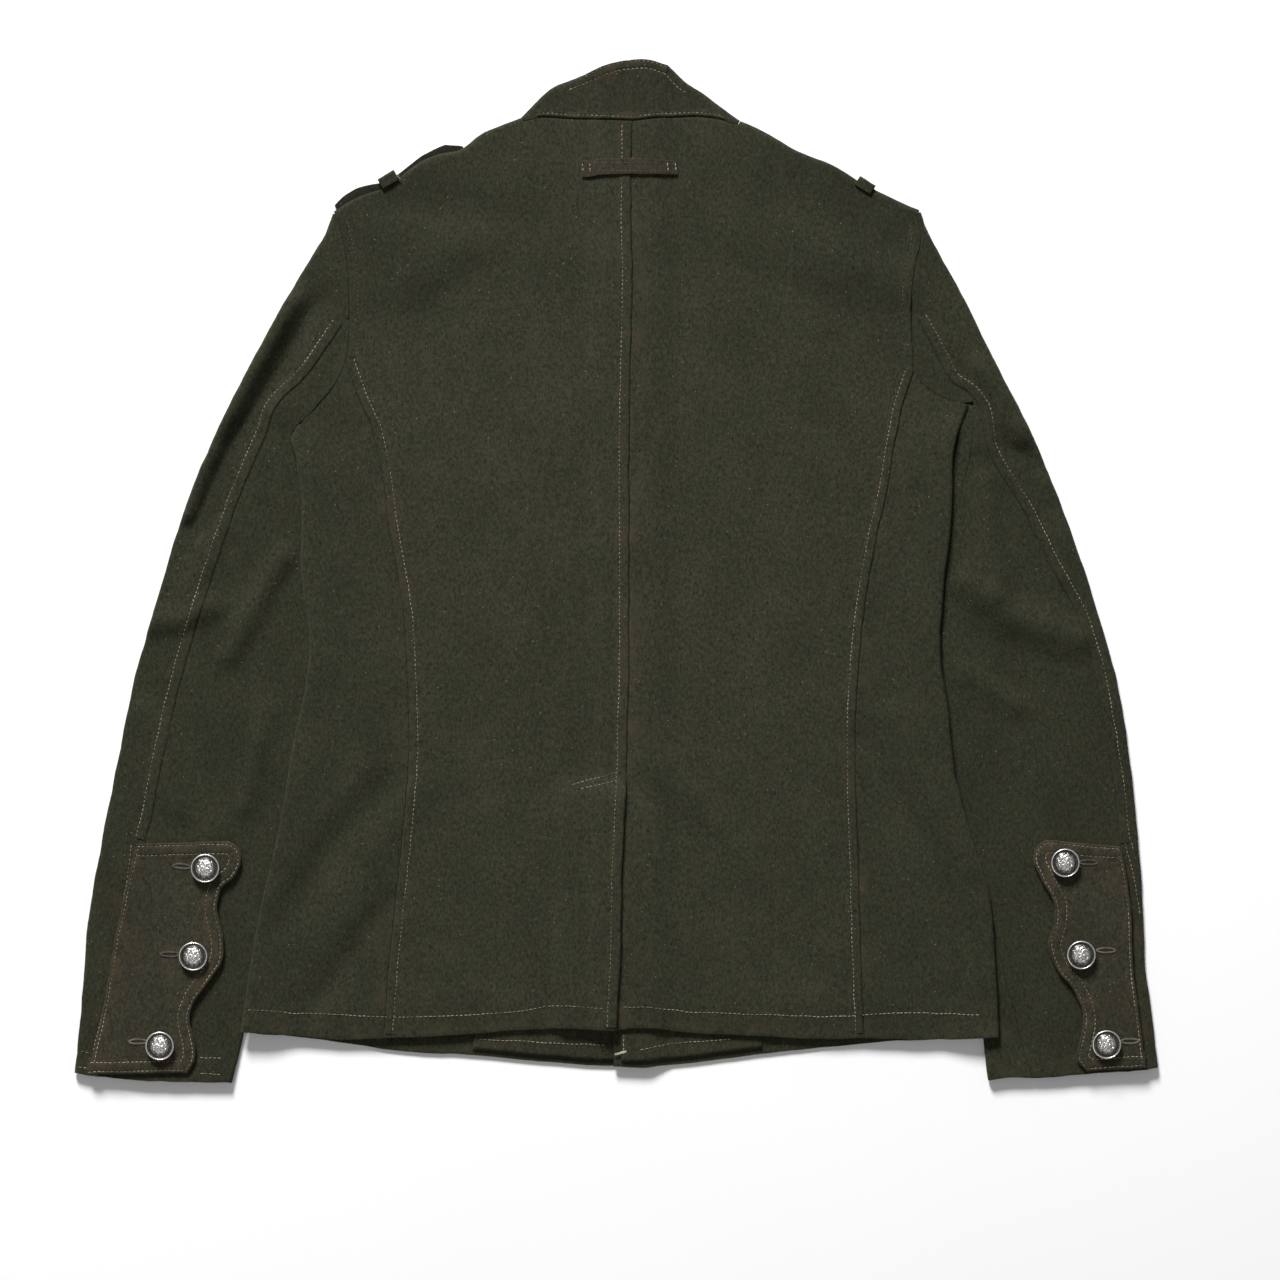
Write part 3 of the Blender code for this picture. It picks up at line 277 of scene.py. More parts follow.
# Small creases, in the same form
BODY_CREASES = (
    (9, -0.35, (-150, 250), (-146, 120)),
    (14, 0.4, (-60, -200), (-75, -320)),
    (6, -0.4, (-110, -300), (-50, -318)),
    (7, -0.5, (-205, -150), (-250, -270)),
    (6, -0.5, (-185, -260), (-228, -330)),
    (16, -0.4, (60, 240), (150, 215)),
    (18, 0.5, (110, 60), (120, -60)),
    (7, -0.6, (205, -160), (262, -300)),
    (8, 0.45, (195, -200), (235, -330)),
    (14, -0.35, (60, -80), (66, -200)),
    (20, 0.4, (-90, 60), (-96, -90)),
    (14, 0.3, (20, 200), (160, 160)),
    (7, -0.4, (-225, 60), (-205, 20)),
    (8, -0.4, (230, 60), (215, 10)),
)
SLEEVE_CREASES = (
    (6, 0.5, (-240, 205), (-296, 110)),
    (5, -0.8, (-258, 148), (-280, 100)),
    (6, -0.9, (-250, 118), (-243, 92)),
    (8, 0.5, (-300, 60), (-320, -10)),
    (9, -0.4, (-330, 20), (-352, -60)),
    (7, -0.7, (-290, -60), (-262, -110)),
    (6, 0.5, (-270, -130), (-285, -190)),
    (9, 0.4, (-360, -100), (-376, -170)),
    (7, -0.7, (262, 150), (300, 118)),
    (5, -0.6, (268, 110), (280, 60)),
    (7, 0.5, (300, 80), (318, 20)),
    (7, 0.6, (262, -10), (330, -60)),
    (8, -0.6, (268, -60), (352, -92)),
    (9, 0.4, (300, -100), (360, -120)),
    (7, -0.4, (280, -160), (340, -185)),
)

THREAD_PITCH = 3.3
THREAD_LENGTH = 2.6
THREAD_RADIUS = 0.31

# Buttonholes on the tabs: x, y of the middle
BUTTONHOLES = {
    "left": ((-326, -221), (-335, -287), (-359, -352)),
    "right": ((354, -218), (367, -284), (385, -352)),
}
LOOP_HALF_WIDTH = 7.0
STAR_POINTS = 5

# Lines of stitches that are placed by the photograph, in its pixels
PHOTO_LINES = {
    "vent_bartacks": (((626.7, 767.6), (571.9, 782.9)), ((622.9, 777.0), (577.0, 788.0))),
    "vent_end": (((608.5, 1008), (606.5, 1028)),),
    "hem_left": (((248, 1007), (290, 1011), (342, 1013), (387, 1015), (452, 1014), (491, 1012),
                  (531, 1008), (544, 1005), (603, 1006)),),
    "hem_right": (((623, 1004.5), (651, 1005.5), (678, 1009), (729, 1012), (774, 1013), (828, 1015),
                   (857, 1013.6), (881, 1012), (981, 1012.5)),),
    "front_left": (((478, 1038), (518, 1040), (557, 1042), (607, 1044)),),
    "front_right": (((640, 1048), (667, 1043), (707, 1040), (734, 1038)),),
    "front_right_end": (((624, 1032), (624, 1054)),),
    "front_bartack": (((614.7, 1052.5), (627, 1049.5)),),
    "loop_tack": (((397, 174.5), (401, 178)),),
    "sleeve_left": (((131, 843), (126, 882), (115, 936), (103, 1007), (92, 1052)),
                    ((142, 843), (114, 986), (96, 1060)), ((78, 1065), (96, 1068)),
                    ((80, 1050), (92, 1053)), ((199, 1056), (221, 1057)), ((199, 1072), (222, 1073))),
    "sleeve_right": (((1125.5, 840), (1135, 879), (1141, 913)), ((1132, 840), (1135, 852))),
    "hanger_sides": (((583, 161.6), (675, 162.4)), ((584, 169.8), (676, 170.6))),
    "hanger_ends": (((581.8, 161.0), (583.2, 173.2)), ((589.4, 161.0), (590.4, 173.2)),
                    ((667.3, 161.5), (668.0, 173.8)), ((675.2, 161.5), (676.0, 173.8))),
}

# How many pieces each stretch of seam is divided into
ARM = {"elbow": 26, "princess": 11, "seam": 9, "pit": 6}
EDGE_ROWS = 150
PIT_ROWS = ARM["seam"] + ARM["pit"]
PIT_COLUMNS = ARM["princess"] + PIT_ROWS
PRINCESS_ROWS = EDGE_ROWS + PIT_ROWS
BACK_COLUMNS = 70
SLEEVE_ROWS = 150
SHOULDER_COLUMNS = 44
NECK_COLUMNS = BACK_COLUMNS - SHOULDER_COLUMNS
ARC_STEPS = 10
SIDE_COLUMNS = 30
TOP_COLUMNS = 18
UNDER_COLUMNS = 34
LOW_COLUMNS = 8
TAB_ROWS = 90
TAB_COLUMNS = 36
HANGER_COLUMNS = 60

FINISH = {}
DETAILS = {}
WEAR_LINES = []


def smooth(value):
    value = np.clip(value, 0.0, 1.0)
    return value * value * (3.0 - 2.0 * value)


def line(rows, step=1.0):
    """A smooth line through the rows of a table, one point every step."""
    p = np.array(rows, float)
    gaps = np.diff(p, axis=0)
    h = np.hypot(gaps[:, 0], gaps[:, 1])
    t = np.concatenate([[0.0], np.cumsum(h)])
    slope = gaps / h[:, None]
    inner = (slope[:-1] * h[1:, None] + slope[1:] * h[:-1, None]) / (h[1:] + h[:-1])[:, None]
    m = np.vstack([slope[:1], inner, slope[-1:]])
    s = np.linspace(0.0, t[-1], int(t[-1] / step) + 2)
    i = np.clip(np.searchsorted(t, s, side="right") - 1, 0, len(h) - 1)
    u = ((s - t[i]) / h[i])[:, None]
    w = h[i][:, None]
    return ((1 + 2 * u) * (1 - u) ** 2 * p[i] + u * (1 - u) ** 2 * w * m[i]
            + u * u * (3 - 2 * u) * p[i + 1] + u * u * (u - 1) * w * m[i + 1])


def lengths(points):
    gaps = np.diff(points, axis=0)
    return np.concatenate([[0.0], np.cumsum(np.hypot(gaps[:, 0], gaps[:, 1]))])


def unit(rows):
    return rows / np.maximum(np.hypot(rows[:, 0], rows[:, 1]), 1e-6)[:, None]


def at_lengths(at, along, points):
    """The places on a line at the given lengths along it."""
    return np.column_stack([np.interp(at, along, points[:, k]) for k in (0, 1)])


def stations(points, counts, knots=()):
    """Points on a line, each stretch between knots divided evenly into its count."""
    along = lengths(points)
    marks = [0.0]
    for knot in knots:
        marks.append(along[np.argmin(np.hypot(points[:, 0] - knot[0], points[:, 1] - knot[1]))])
    marks.append(along[-1])
    at = [np.linspace(marks[k], marks[k + 1], n + 1)[:-1] for k, n in enumerate(counts)]
    return at_lengths(np.concatenate(at + [[along[-1]]]), along, points)


def patch(first, last, columns, top=None, bottom=None):
    """A grid of rows from the first side to the last one, its ends bent to top and bottom."""
    rows = len(first)
    u = np.linspace(0.0, 1.0, columns + 1)[None, :, None]
    v = np.linspace(0.0, 1.0, rows)[:, None, None]
    grid = (1 - u) * first[:, None, :] + u * last[:, None, :]
    if top is not None:
        grid = grid + (1 - v) * (top[None, :, :] - grid[:1])
    if bottom is not None:
        grid = grid + v * (bottom[None, :, :] - grid[-1:])
    return grid


def up_to(points, end_x):
    """The part of a line as far as the place with a given x."""
    return points[:int(np.argmin(np.abs(points[:, 0] - end_x))) + 1]


def normals(points):
    """The direction square to a line at each of its points."""
    run = np.gradient(points, axis=0)
    return unit(np.column_stack([run[:, 1], -run[:, 0]]))


def outward(points, towards):
    """The direction square to a line, on the side that towards gives."""
    normal = normals(points)
    return normal * np.where(normal @ np.array(towards, float) < 0, -1.0, 1.0)[:, None]


def with_height(grid, height):
    return np.dstack([grid, height(grid[..., 0], grid[..., 1])])


def fold_round(start, direction, reach, upper, lower):
    """The cloth turning over an edge, from the upper layer down to the lower one."""
    angle = np.linspace(np.pi / 2, -np.pi / 2, ARC_STEPS + 1)[None, :]
    out = reach[:, None] * np.cos(angle)
    middle = (upper + lower)[:, None] / 2
    z = middle + (upper - lower)[:, None] / 2 * np.sin(angle)
    x = start[:, :1] + direction[:, :1] * out
    y = start[:, 1:] + direction[:, 1:] * out
    return np.dstack([x, y, z])


def fold_to_floor(edge, direction, reach):
    """The turn from the edge of an upper layer down to the layer on the floor."""
    xy = edge[:, :2]
    return fold_round(xy, direction, reach, edge[:, 2], lower_z(xy[:, 0], xy[:, 1]))


def pull_in(grid, sides, amount=SEAM_GAP / 2):
    """Moves the named sides of a grid inwards, so that neighbours stay a gap apart."""
    grid = grid.copy()
    views = {"top": (grid[0], grid[1]), "bottom": (grid[-1], grid[-2]),
             "first": (grid[:, 0], grid[:, 1]), "last": (grid[:, -1], grid[:, -2])}
    for side in sides:
        edge, beside = views[side]
        run = beside - edge
        size = np.linalg.norm(run, axis=1)[:, None]
        edge += np.where(size > 2 * amount, run / np.maximum(size, 1e-6) * amount, 0.0)
    return grid


def segment_distance(x, y, a, b):
    dx, dy = b[0] - a[0], b[1] - a[1]
    t = np.clip(((x - a[0]) * dx + (y - a[1]) * dy) / (dx * dx + dy * dy), 0.0, 1.0)
    return np.hypot(x - a[0] - t * dx, y - a[1] - t * dy)


def folds(x, y, table):
    """The height of all the folds of a table at each place."""
    total = np.zeros_like(x)
    for half_width, height, *points in table:
        away = np.min([segment_distance(x, y, a, b) for a, b in zip(points, points[1:])], axis=0)
        total = total + height * np.exp(-(away / half_width) ** 2)
    return total


def edge_x(side, y):
    """Where the body's side edge lies at each height of the garment."""
    p = line(side["edge"])
    order = np.argsort(p[:, 1])
    return np.interp(y, p[order, 1], p[order, 0])


def below_pit(side, y, reach):
    return smooth((side["edge"][0][1] - y) / reach)


def strap_rise(x, y):
    """The lift over the shoulder straps, which lie between the fronts and the floor."""
    total = np.zeros_like(x)
    for side in (LEFT, RIGHT):
        p = np.array(side["strap"], float)
        top = (p[0] + p[4]) / 2
        end = (p[2] + p[3]) / 2
        start = top + (end - top) * 0.06
        stop = end + (top - end) * 0.16
        away = segment_distance(x, y, start, stop) - STRAP_FLAT
        total = np.maximum(total, (STRAP_WALL + LAYER_GAP) * smooth(1 - away / STRAP_SLOPE))
        total = total + loop_rise(side, x, y, 24.0, 24.0)
    return total


def loop_rise(side, x, y, flat, slope):
    """The lift over a strap loop: full as far as flat, then down over a slope."""
    return (LOOP_WALL + LAYER_GAP) * smooth(1 - (segment_distance(x, y, *loop_path(side)) - flat) / slope)


def loop_path(side):
    """The outer end of a strap loop and the end of its run underneath."""
    a, b = (np.array(p, float) for p in side["loop"])
    run = (a - b) / np.hypot(*(a - b))
    return b, a + run * LOOP_RUN


def lower_z(x, y):
    return FLOOR_MID + strap_rise(x, y)


def closing(x):
    return smooth((CLOSING_END - 4.0 - x) / (CLOSING_END - CLOSING_TOP))


def front_right_z(x, y):
    return lower_z(x, y) + FRONT_STEP * closing(x)


def near_end(points, reach, end):
    """A weight that is one at the start of a line, or at its end, and falls to none over a reach."""
    along = lengths(points)
    along = along[-1] - along if end else along
    return (1 - smooth(along / reach))[:, None]


def settle(points, target, reach, end=0):
    """Moves one end of a line to a target, and the points near it by less and less."""
    return points + (target - points[-1 if end else 0]) * near_end(points, reach, end)


def turned(directions, points, target, reach, end=0):
    """Directions along a line that begin as the target and turn to their own over a reach."""
    weight = near_end(points, reach, end)
    return unit(directions * (1 - weight) + np.array(target, float) * weight)


NOISE_GRID = np.random.default_rng(11).random((64, 64))


def noise(x, y):
    """Soft random values between -1 and 1, one wave about a unit wide."""
    xi, yi = np.floor(x).astype(int), np.floor(y).astype(int)
    u, v = x - xi, y - yi
    u, v = u * u * (3 - 2 * u), v * v * (3 - 2 * v)
    g = NOISE_GRID
    low = g[xi % 64, yi % 64] * (1 - u) + g[(xi + 1) % 64, yi % 64] * u
    high = g[xi % 64, (yi + 1) % 64] * (1 - u) + g[(xi + 1) % 64, (yi + 1) % 64] * u
    return (low * (1 - v) + high * v) * 2 - 1


def relief(x, y, creases):
    """The fine form of the wool: small creases and a soft unevenness."""
    total = 0.30 * noise(x / 34 + 7, y / 47) + 0.13 * noise(x / 13, y / 17 + 3)
    return total + 0.035 * noise(x / 4.1, y / 5.3) + folds(x, y, creases)


def side_lift(x, y):
    """How much the sleeves under the body lift its sides, 0 to 1."""
    total = np.zeros_like(x)
    for side, sign in OUTWARDS.values():
        inside = -sign * (x - edge_x(side, y))
        total = np.maximum(total, below_pit(side, y, 40.0) * smooth(1 - inside / SIDE_RISE_WIDTH))
    return total


def back_z(x, y):
    """The middle of the upper layer of the body."""
    hump = smooth((CLOSING_END - x) / (CLOSING_END - CLOSING_TOP)) * smooth((x + 24.0) / 16.0)
    lift = side_lift(x, y)
    drop = HEM_DROP * smooth((-322.0 - y) / 26.0) * (1 - smooth(lift * 2.0))
    flat = 1 - 0.5 * smooth(lift * 1.5)
    return (BACK_MID + 0.9 * strap_rise(x, y) + HUMP * hump + SIDE_RISE * lift - drop
            + folds(x, y, BODY_FOLDS) * flat + relief(x, y, BODY_CREASES))


def vent_lift(x, y):
    return smooth((VENT_TOP - 2.0 - y) / 18.0) * smooth((x + UNDERLAP_WIDTH + 16.0) / 12.0)


def back_left_z(x, y):
    return back_z(x, y) + VENT_STEP * vent_lift(x, y)


def sleeve_z(x, y, dipped=1.0):
    """The middle of the upper layer of the sleeves, low where the body lies on it."""
    dip, clear = np.zeros_like(x), np.ones_like(x)
    for side, sign in OUTWARDS.values():
        away = sign * (x - edge_x(side, y))
        beside = smooth((y - side["edge"][-1][1] + 38.0) / 25.0)
        dip = np.maximum(dip, below_pit(side, y, 30.0) * smooth(1 - (away - 3.0) / 26.0) * beside)
        elsewhere = (sign * x < 0) + (1 - below_pit(side, y, 14.0))
        clear = np.minimum(clear, smooth((away + 1.0) / 6.0) + elsewhere)
    level = SLEEVE_MID + (BACK_MID - SLEEVE_MID) * smooth((y - 60.0) / 60.0)
    fade = smooth((FOLDS_TOP - y) / FOLDS_FADE) * smooth((y - FOLDS_END) / FOLDS_FADE)
    crease = folds(x, y, SLEEVE_FOLDS) * fade * np.clip(clear, 0, 1)
    fine = relief(x, y, SLEEVE_CREASES) + 0.9 * noise(x / 58 + 2, y / 70) * fade * (1 - dip)
    drop = (SLEEVE_DIP * dip + EDGE_DIP * dip ** 6) * dipped
    spare = level + 0.9 * strap_rise(x, y) - drop + crease + fine - LOWEST_TOP
    return LOWEST_TOP + 0.5 * (spare + np.sqrt(spare ** 2 + STOP_SOFTNESS))


# Materials


def node_tree(name):
    """A material, its nodes, its shader and the place on the object in metres."""
    mat = bpy.data.materials.new(name)
    mat.use_nodes = True
    tree = mat.node_tree
    shader = next(n for n in tree.nodes if n.type == "BSDF_PRINCIPLED")
    return mat, tree, shader, tree.nodes.new("ShaderNodeTexCoord").outputs["Object"]


def grain(tree, place, scale, detail, roughness=0.5, turn=0.0):
    """A noise with about one wave in each unit of the place times the scale."""
    node = tree.nodes.new("ShaderNodeTexNoise")
    tree.links.new(mapping(tree, place, scale, turn), node.inputs["Vector"])
    for key, value in (("Scale", 1.0), ("Detail", detail), ("Roughness", roughness)):
        node.inputs[key].default_value = value
    return node.outputs["Fac"]


def marked(tree, name):
    """The values that a mesh carries under a name."""
    node = tree.nodes.new("ShaderNodeAttribute")
    node.attribute_name = name
    return node.outputs["Fac"]


def mapping(tree, source, scale, turn=0.0):
    node = tree.nodes.new("ShaderNodeMapping")
    node.inputs["Scale"].default_value = scale
    node.inputs["Rotation"].default_value = (0.0, 0.0, turn)
    tree.links.new(source, node.inputs["Vector"])
    return node.outputs["Vector"]


def remap(tree, source, low, high, to_low=0.0, to_high=1.0):
    node = tree.nodes.new("ShaderNodeMapRange")
    for key, value in zip(("From Min", "From Max", "To Min", "To Max"), (low, high, to_low, to_high)):
        node.inputs[key].default_value = value
    tree.links.new(source, node.inputs["Value"])
    return node.outputs["Result"]


def maths(tree, operation, first, second):
    node = tree.nodes.new("ShaderNodeMath")
    node.operation = operation
    for socket, value in zip(node.inputs, (first, second)):
        if isinstance(value, (int, float)):
            socket.default_value = value
        else:
            tree.links.new(value, socket)
    return node.outputs[0]


def times(tree, first, second):
    return maths(tree, "MULTIPLY", first, second)


def weighted(tree, *terms):
    """The sum of the terms, each an output and its weight."""
    total = times(tree, *terms[-1])
    for term in terms[-2::-1]:
        total = maths(tree, "ADD", times(tree, *term), total)
    return total


def bump(tree, shader, height, strength, distance):
    node = tree.nodes.new("ShaderNodeBump")
    node.inputs["Strength"].default_value = strength
    node.inputs["Distance"].default_value = distance
    tree.links.new(height, node.inputs["Height"])
    tree.links.new(node.outputs["Normal"], shader.inputs["Normal"])


def blend_colour(tree, factor, first, second, mode="MIX"):
    node = tree.nodes.new("ShaderNodeMix")
    node.data_type = "RGBA"
    node.blend_type = mode
    for socket, value in ((node.inputs[0], factor), (node.inputs[6], first), (node.inputs[7], second)):
        if isinstance(value, (int, float)):
            socket.default_value = value
        elif isinstance(value, tuple):
            socket.default_value = (*value, 1.0)
        else:
            tree.links.new(value, socket)
    return node.outputs[2]


def wool(name, base, turn=0.0, worn=0.25, painted_shoulder_shade=0.0):
    """Felted wool: a short nap in soft streaks, mottling, a brown cast where it is worn, and lint.

    Painted shade darkens the cloth towards the upper outer shoulders, by the share that the last argument
    gives.
    """
    mat, tree, shader, place = node_tree(name)
    broad = grain(tree, place, (26, 20, 26), 4.0, 0.6, turn)
    streak = grain(tree, place, (800, 330, 500), 3.0, 0.65, turn)
    felt = grain(tree, place, (420, 330, 420), 5.0, 0.7, turn)
    fuzz = grain(tree, place, (2100, 1300, 2100), 2.0, 0.6, turn + 0.5)
    dark = tuple(c * 0.30 for c in base)
    light = tuple(c * 1.80 for c in base)
    fine = weighted(tree, (streak, 0.36), (felt, 0.40), (fuzz, 0.24))
    colour = blend_colour(tree, remap(tree, fine, 0.36, 0.64), dark, light)
    brown = (base[0] * 1.85, base[1] * 1.45, base[2] * 1.42)
    patches = grain(tree, place, (75, 48, 75), 5.0, 0.68, turn)
    amount = maths(tree, "ADD", worn * 0.35, times(tree, marked(tree, "wear"), 0.9))
    mottle = times(tree, remap(tree, patches, 0.48, 0.70), amount)
    colour = blend_colour(tree, mottle, colour, brown)
    shade = remap(tree, broad, 0.3, 0.7, 0.88, 1.12)
    # painted shade: darker towards the upper outer shoulders, where less light fell
    if painted_shoulder_shade:
        split = tree.nodes.new("ShaderNodeSeparateXYZ")
        tree.links.new(place, split.inputs[0])
        square = times(tree, split.outputs["X"], split.outputs["X"])
        far = times(tree, remap(tree, square, 0.0, 0.030, 0.25, 1.0),
                    remap(tree, split.outputs["Y"], 0.14, 0.30))
        shade = times(tree, shade, remap(tree, far, 0.0, 1.0, 1.0, 1.0 - painted_shoulder_shade))
    grey = tree.nodes.new("ShaderNodeCombineColor")
    for socket in grey.inputs[:3]:
        tree.links.new(shade, socket)
    colour = blend_colour(tree, 1.0, colour, grey.outputs[0], "MULTIPLY")
    specks = tree.nodes.new("ShaderNodeTexVoronoi")
    specks.inputs["Scale"].default_value = 1.0
    tree.links.new(mapping(tree, place, (330, 300, 330), 0.7), specks.inputs["Vector"])
    lint = times(tree, remap(tree, specks.outputs["Distance"], 0.16, 0.06),
                 remap(tree, specks.outputs["Color"], 0.80, 0.84))
    colour = blend_colour(tree, times(tree, lint, 0.55), colour, (0.30, 0.28, 0.22))
    tree.links.new(colour, shader.inputs["Base Color"])
    shader.inputs["Roughness"].default_value = 0.95
    shader.inputs["Specular IOR Level"].default_value = 0.10
    shader.inputs["Sheen Weight"].default_value = 0.08
    shader.inputs["Sheen Roughness"].default_value = 0.5
    shader.inputs["Sheen Tint"].default_value = (0.75, 0.75, 0.62, 1.0)
    bump(tree, shader, fine, 0.75, 0.0007)
    return mat


def thread(name, colour):
    """Twisted thread, darker in places where it is soiled."""
    mat, tree, shader, place = node_tree(name)
    twist = grain(tree, place, (1500, 1500, 1500), 2.0)
    drift = grain(tree, place, (38, 38, 38), 4.0, 0.7)
    dark = (colour[0] * 0.26, colour[1] * 0.19, colour[2] * 0.15)
    shade = weighted(tree, (twist, 0.3), (drift, 0.7))
    tree.links.new(blend_colour(tree, remap(tree, shade, 0.42, 0.60), dark, colour),
                   shader.inputs["Base Color"])
    shader.inputs["Roughness"].default_value = 0.75
    bump(tree, shader, twist, 0.4, 0.0001)
    return mat


def button_metal(name):
    """Worn silver-coloured metal with dark patina in its recesses and painted shade on its dome's flanks.
    """
    mat, tree, shader, place = node_tree(name)
    fine = grain(tree, place, (900, 900, 900), 4.0, 0.7)
    painted_shade_and_patina = times(tree, marked(tree, "patina_and_painted_shade"), remap(tree, fine, 0.35, 0.6, 0.75, 1.0))
    colour = blend_colour(tree, painted_shade_and_patina, (0.78, 0.77, 0.73), (0.022, 0.020, 0.016))
    colour = blend_colour(tree, remap(tree, fine, 0.52, 0.75, 0.0, 0.6), colour, (0.34, 0.32, 0.26))
    tree.links.new(colour, shader.inputs["Base Color"])
    shader.inputs["Metallic"].default_value = 0.92
    tree.links.new(remap(tree, fine, 0.3, 0.7, 0.22, 0.48), shader.inputs["Roughness"])
    bump(tree, shader, fine, 0.35, 0.0002)
    return mat


# Pieces of cloth


def wobble(place):
    """Moves points a little, the same way in all pieces, so that no edge is drawn with a ruler."""
    x, y = place[:, 0].copy(), place[:, 1].copy()
    place[:, 0] += 0.40 * noise(x / 11 + 3, y / 11) + 0.14 * noise(x / 3.1, y / 3.1)
    place[:, 1] += 0.40 * noise(x / 11, y / 11 + 11) + 0.14 * noise(x / 3.1 + 5, y / 3.1)
    return (place + ORIGIN) * MM


def grid_mesh(name, grids):
    """One mesh of several grids in millimetres, joined where their edges meet."""
    mesh = bpy.data.meshes.new(name)
    points, faces = [], []
    for grid in grids:
        rows, columns = grid.shape[:2]
        start = len(points)
        points.extend(grid.reshape(-1, 3).tolist())
        for i in range(rows - 1):
            for j in range(columns - 1):
                a = start + i * columns + j
                faces.append((a, a + 1, a + columns + 1, a + columns))
    mesh.from_pydata(wobble(np.array(points)).tolist(), [], faces)
    bm = bmesh.new()
    bm.from_mesh(mesh)
    bmesh.ops.remove_doubles(bm, verts=bm.verts, dist=0.00004)
    bmesh.ops.dissolve_degenerate(bm, edges=bm.edges, dist=0.00002)
    bmesh.ops.recalc_face_normals(bm, faces=bm.faces)
    bm.to_mesh(mesh)
    bm.free()
    mesh.shade_smooth()
    return mesh


def add_wear(mesh, lines, reach):
    """Marks how near each point is to a seam or an edge, for the brown cast of wear."""
    place = np.zeros(len(mesh.vertices) * 3)
    mesh.vertices.foreach_get("co", place)
    place = place.reshape(-1, 3) / MM - ORIGIN
    nearest = np.full(len(place), 1e6)
    for points in lines:
        for p in stations(points, (max(4, int(lengths(points)[-1] / 6)),)):
            nearest = np.minimum(nearest, np.hypot(place[:, 0] - p[0], place[:, 1] - p[1]))
    mark(mesh, "wear", 1 - smooth(nearest / reach))


def mark(mesh, name, values):
    attribute = mesh.attributes.new(name, "FLOAT", "POINT")
    attribute.data.foreach_set("value", np.asarray(values, np.float32))


def linked(name, data):
    obj = bpy.data.objects.new(name, data)
    bpy.context.scene.collection.objects.link(obj)
    return obj


def cloth(name, grids, wall, finish, bevel=0.55):
    """A piece of cloth from its middle surface, thickened and with its cut edges rounded."""
    mesh = grid_mesh(name, grids)
    add_wear(mesh, WEAR_LINES, 16.0)
    obj = linked("fine_" + name, mesh)
    solid = obj.modifiers.new("wall", "SOLIDIFY")
    solid.thickness = wall * MM
    solid.offset = 0.0
    solid.use_even_offset = False
    if bevel:
        soft = obj.modifiers.new("soft_edge", "BEVEL")
        soft.width = bevel * MM
        soft.segments = 2
        soft.limit_method = "ANGLE"
        soft.angle_limit = math.radians(55)
    mesh.materials.append(FINISH[finish])
    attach(obj, "root")
    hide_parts(name)


def loose(name, mesh, finish, owner):
    """A piece that goes with a cloth: a raised seam, its stitching or a slit."""
    obj = linked(name, mesh)
    mesh.materials.append(FINISH[finish])
    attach(obj, "root")
    DETAILS.setdefault(owner, []).append(obj)


def ridge(points, side, grooves, height, base):
    """A strip of raised cloth beside a seam or an edge, with its stitched grooves and puckers."""
    last = grooves[-1]
    d = [0.2, 0.45, 0.8, 1.3, 2.2, 3.4, 4.6, 5.8, 7.4, last + 1.5, last + 2.6, last + 3.8]
    d = [v for v in d if v > last or min(abs(v - g) for g in grooves) > 1.0]
    d = np.array(sorted(d + [g + k for g in grooves for k in (-0.8, -0.35, 0.0, 0.35, 0.8)]))
    lift = height * smooth((d + 0.1) / 1.5) * smooth((last + 3.0 - d) / 4.2)
    pull = sum(np.exp(-((d - g) / 4.0) ** 2) for g in grooves)
    lift = lift - 0.42 * sum(np.exp(-((d - g) / 0.75) ** 2) for g in grooves)
    lift[0] = -0.6
    lift[1] = -0.15
    lift[-1] = -0.2
    pull[:2] = 0.0
    along = lengths(points)
    normal = outward(points, side)
    x = points[:, :1] + normal[:, :1] * d
    y = points[:, 1:] + normal[:, 1:] * d
    run = along[:, None] + 0 * d[None, :]
    pucker = 0.20 * noise(run / 4.3, d[None, :] / 9.0 + along[-1] / 7.0)
    pucker = pucker + 0.10 * noise(run / 1.7, 0.3 * d[None, :] + 5.0)
    return np.dstack([x, y, base(x, y) + lift[None, :] + pucker * pull[None, :]])


def threads(segments, base, radius=THREAD_RADIUS, rise=0.0):
    """Short arched threads from x0, y0 to x1, y1 that dip into the cloth at both ends."""
    rings, sides = 5, 6
    t = np.linspace(0, 1, rings)
    arch = np.sin(np.pi * t)
    angle = np.linspace(0, 2 * np.pi, sides, endpoint=False)
    seg = np.array(segments, float)
    x = seg[:, None, 0] + (seg[:, 2] - seg[:, 0])[:, None] * t
    y = seg[:, None, 1] + (seg[:, 3] - seg[:, 1])[:, None] * t
    run = unit(seg[:, 2:4] - seg[:, 0:2])
    z = base(x, y) + radius * (1.15 * arch - 0.55) + rise
    thick = (radius * (0.55 + 0.45 * arch))[None, :, None]
    px = x[:, :, None] - run[:, None, None, 1] * thick * np.cos(angle)
    py = y[:, :, None] + run[:, None, None, 0] * thick * np.cos(angle)
    pz = z[:, :, None] + thick * np.sin(angle)
    place = np.stack([px, py, pz], axis=-1).reshape(-1, 3)
    faces = []
    for n in range(len(seg)):
        first = n * rings * sides
        for k in range(rings - 1):
            for j in range(sides):
                a = first + k * sides + j
                b = first + k * sides + (j + 1) % sides
                faces.append((a, b, b + sides, a + sides))
        faces.append(tuple(first + j for j in reversed(range(sides))))
        faces.append(tuple(first + (rings - 1) * sides + j for j in range(sides)))
    mesh = bpy.data.meshes.new("threads")
    mesh.from_pydata(wobble(place).tolist(), [], faces)
    mesh.shade_smooth()
    return mesh


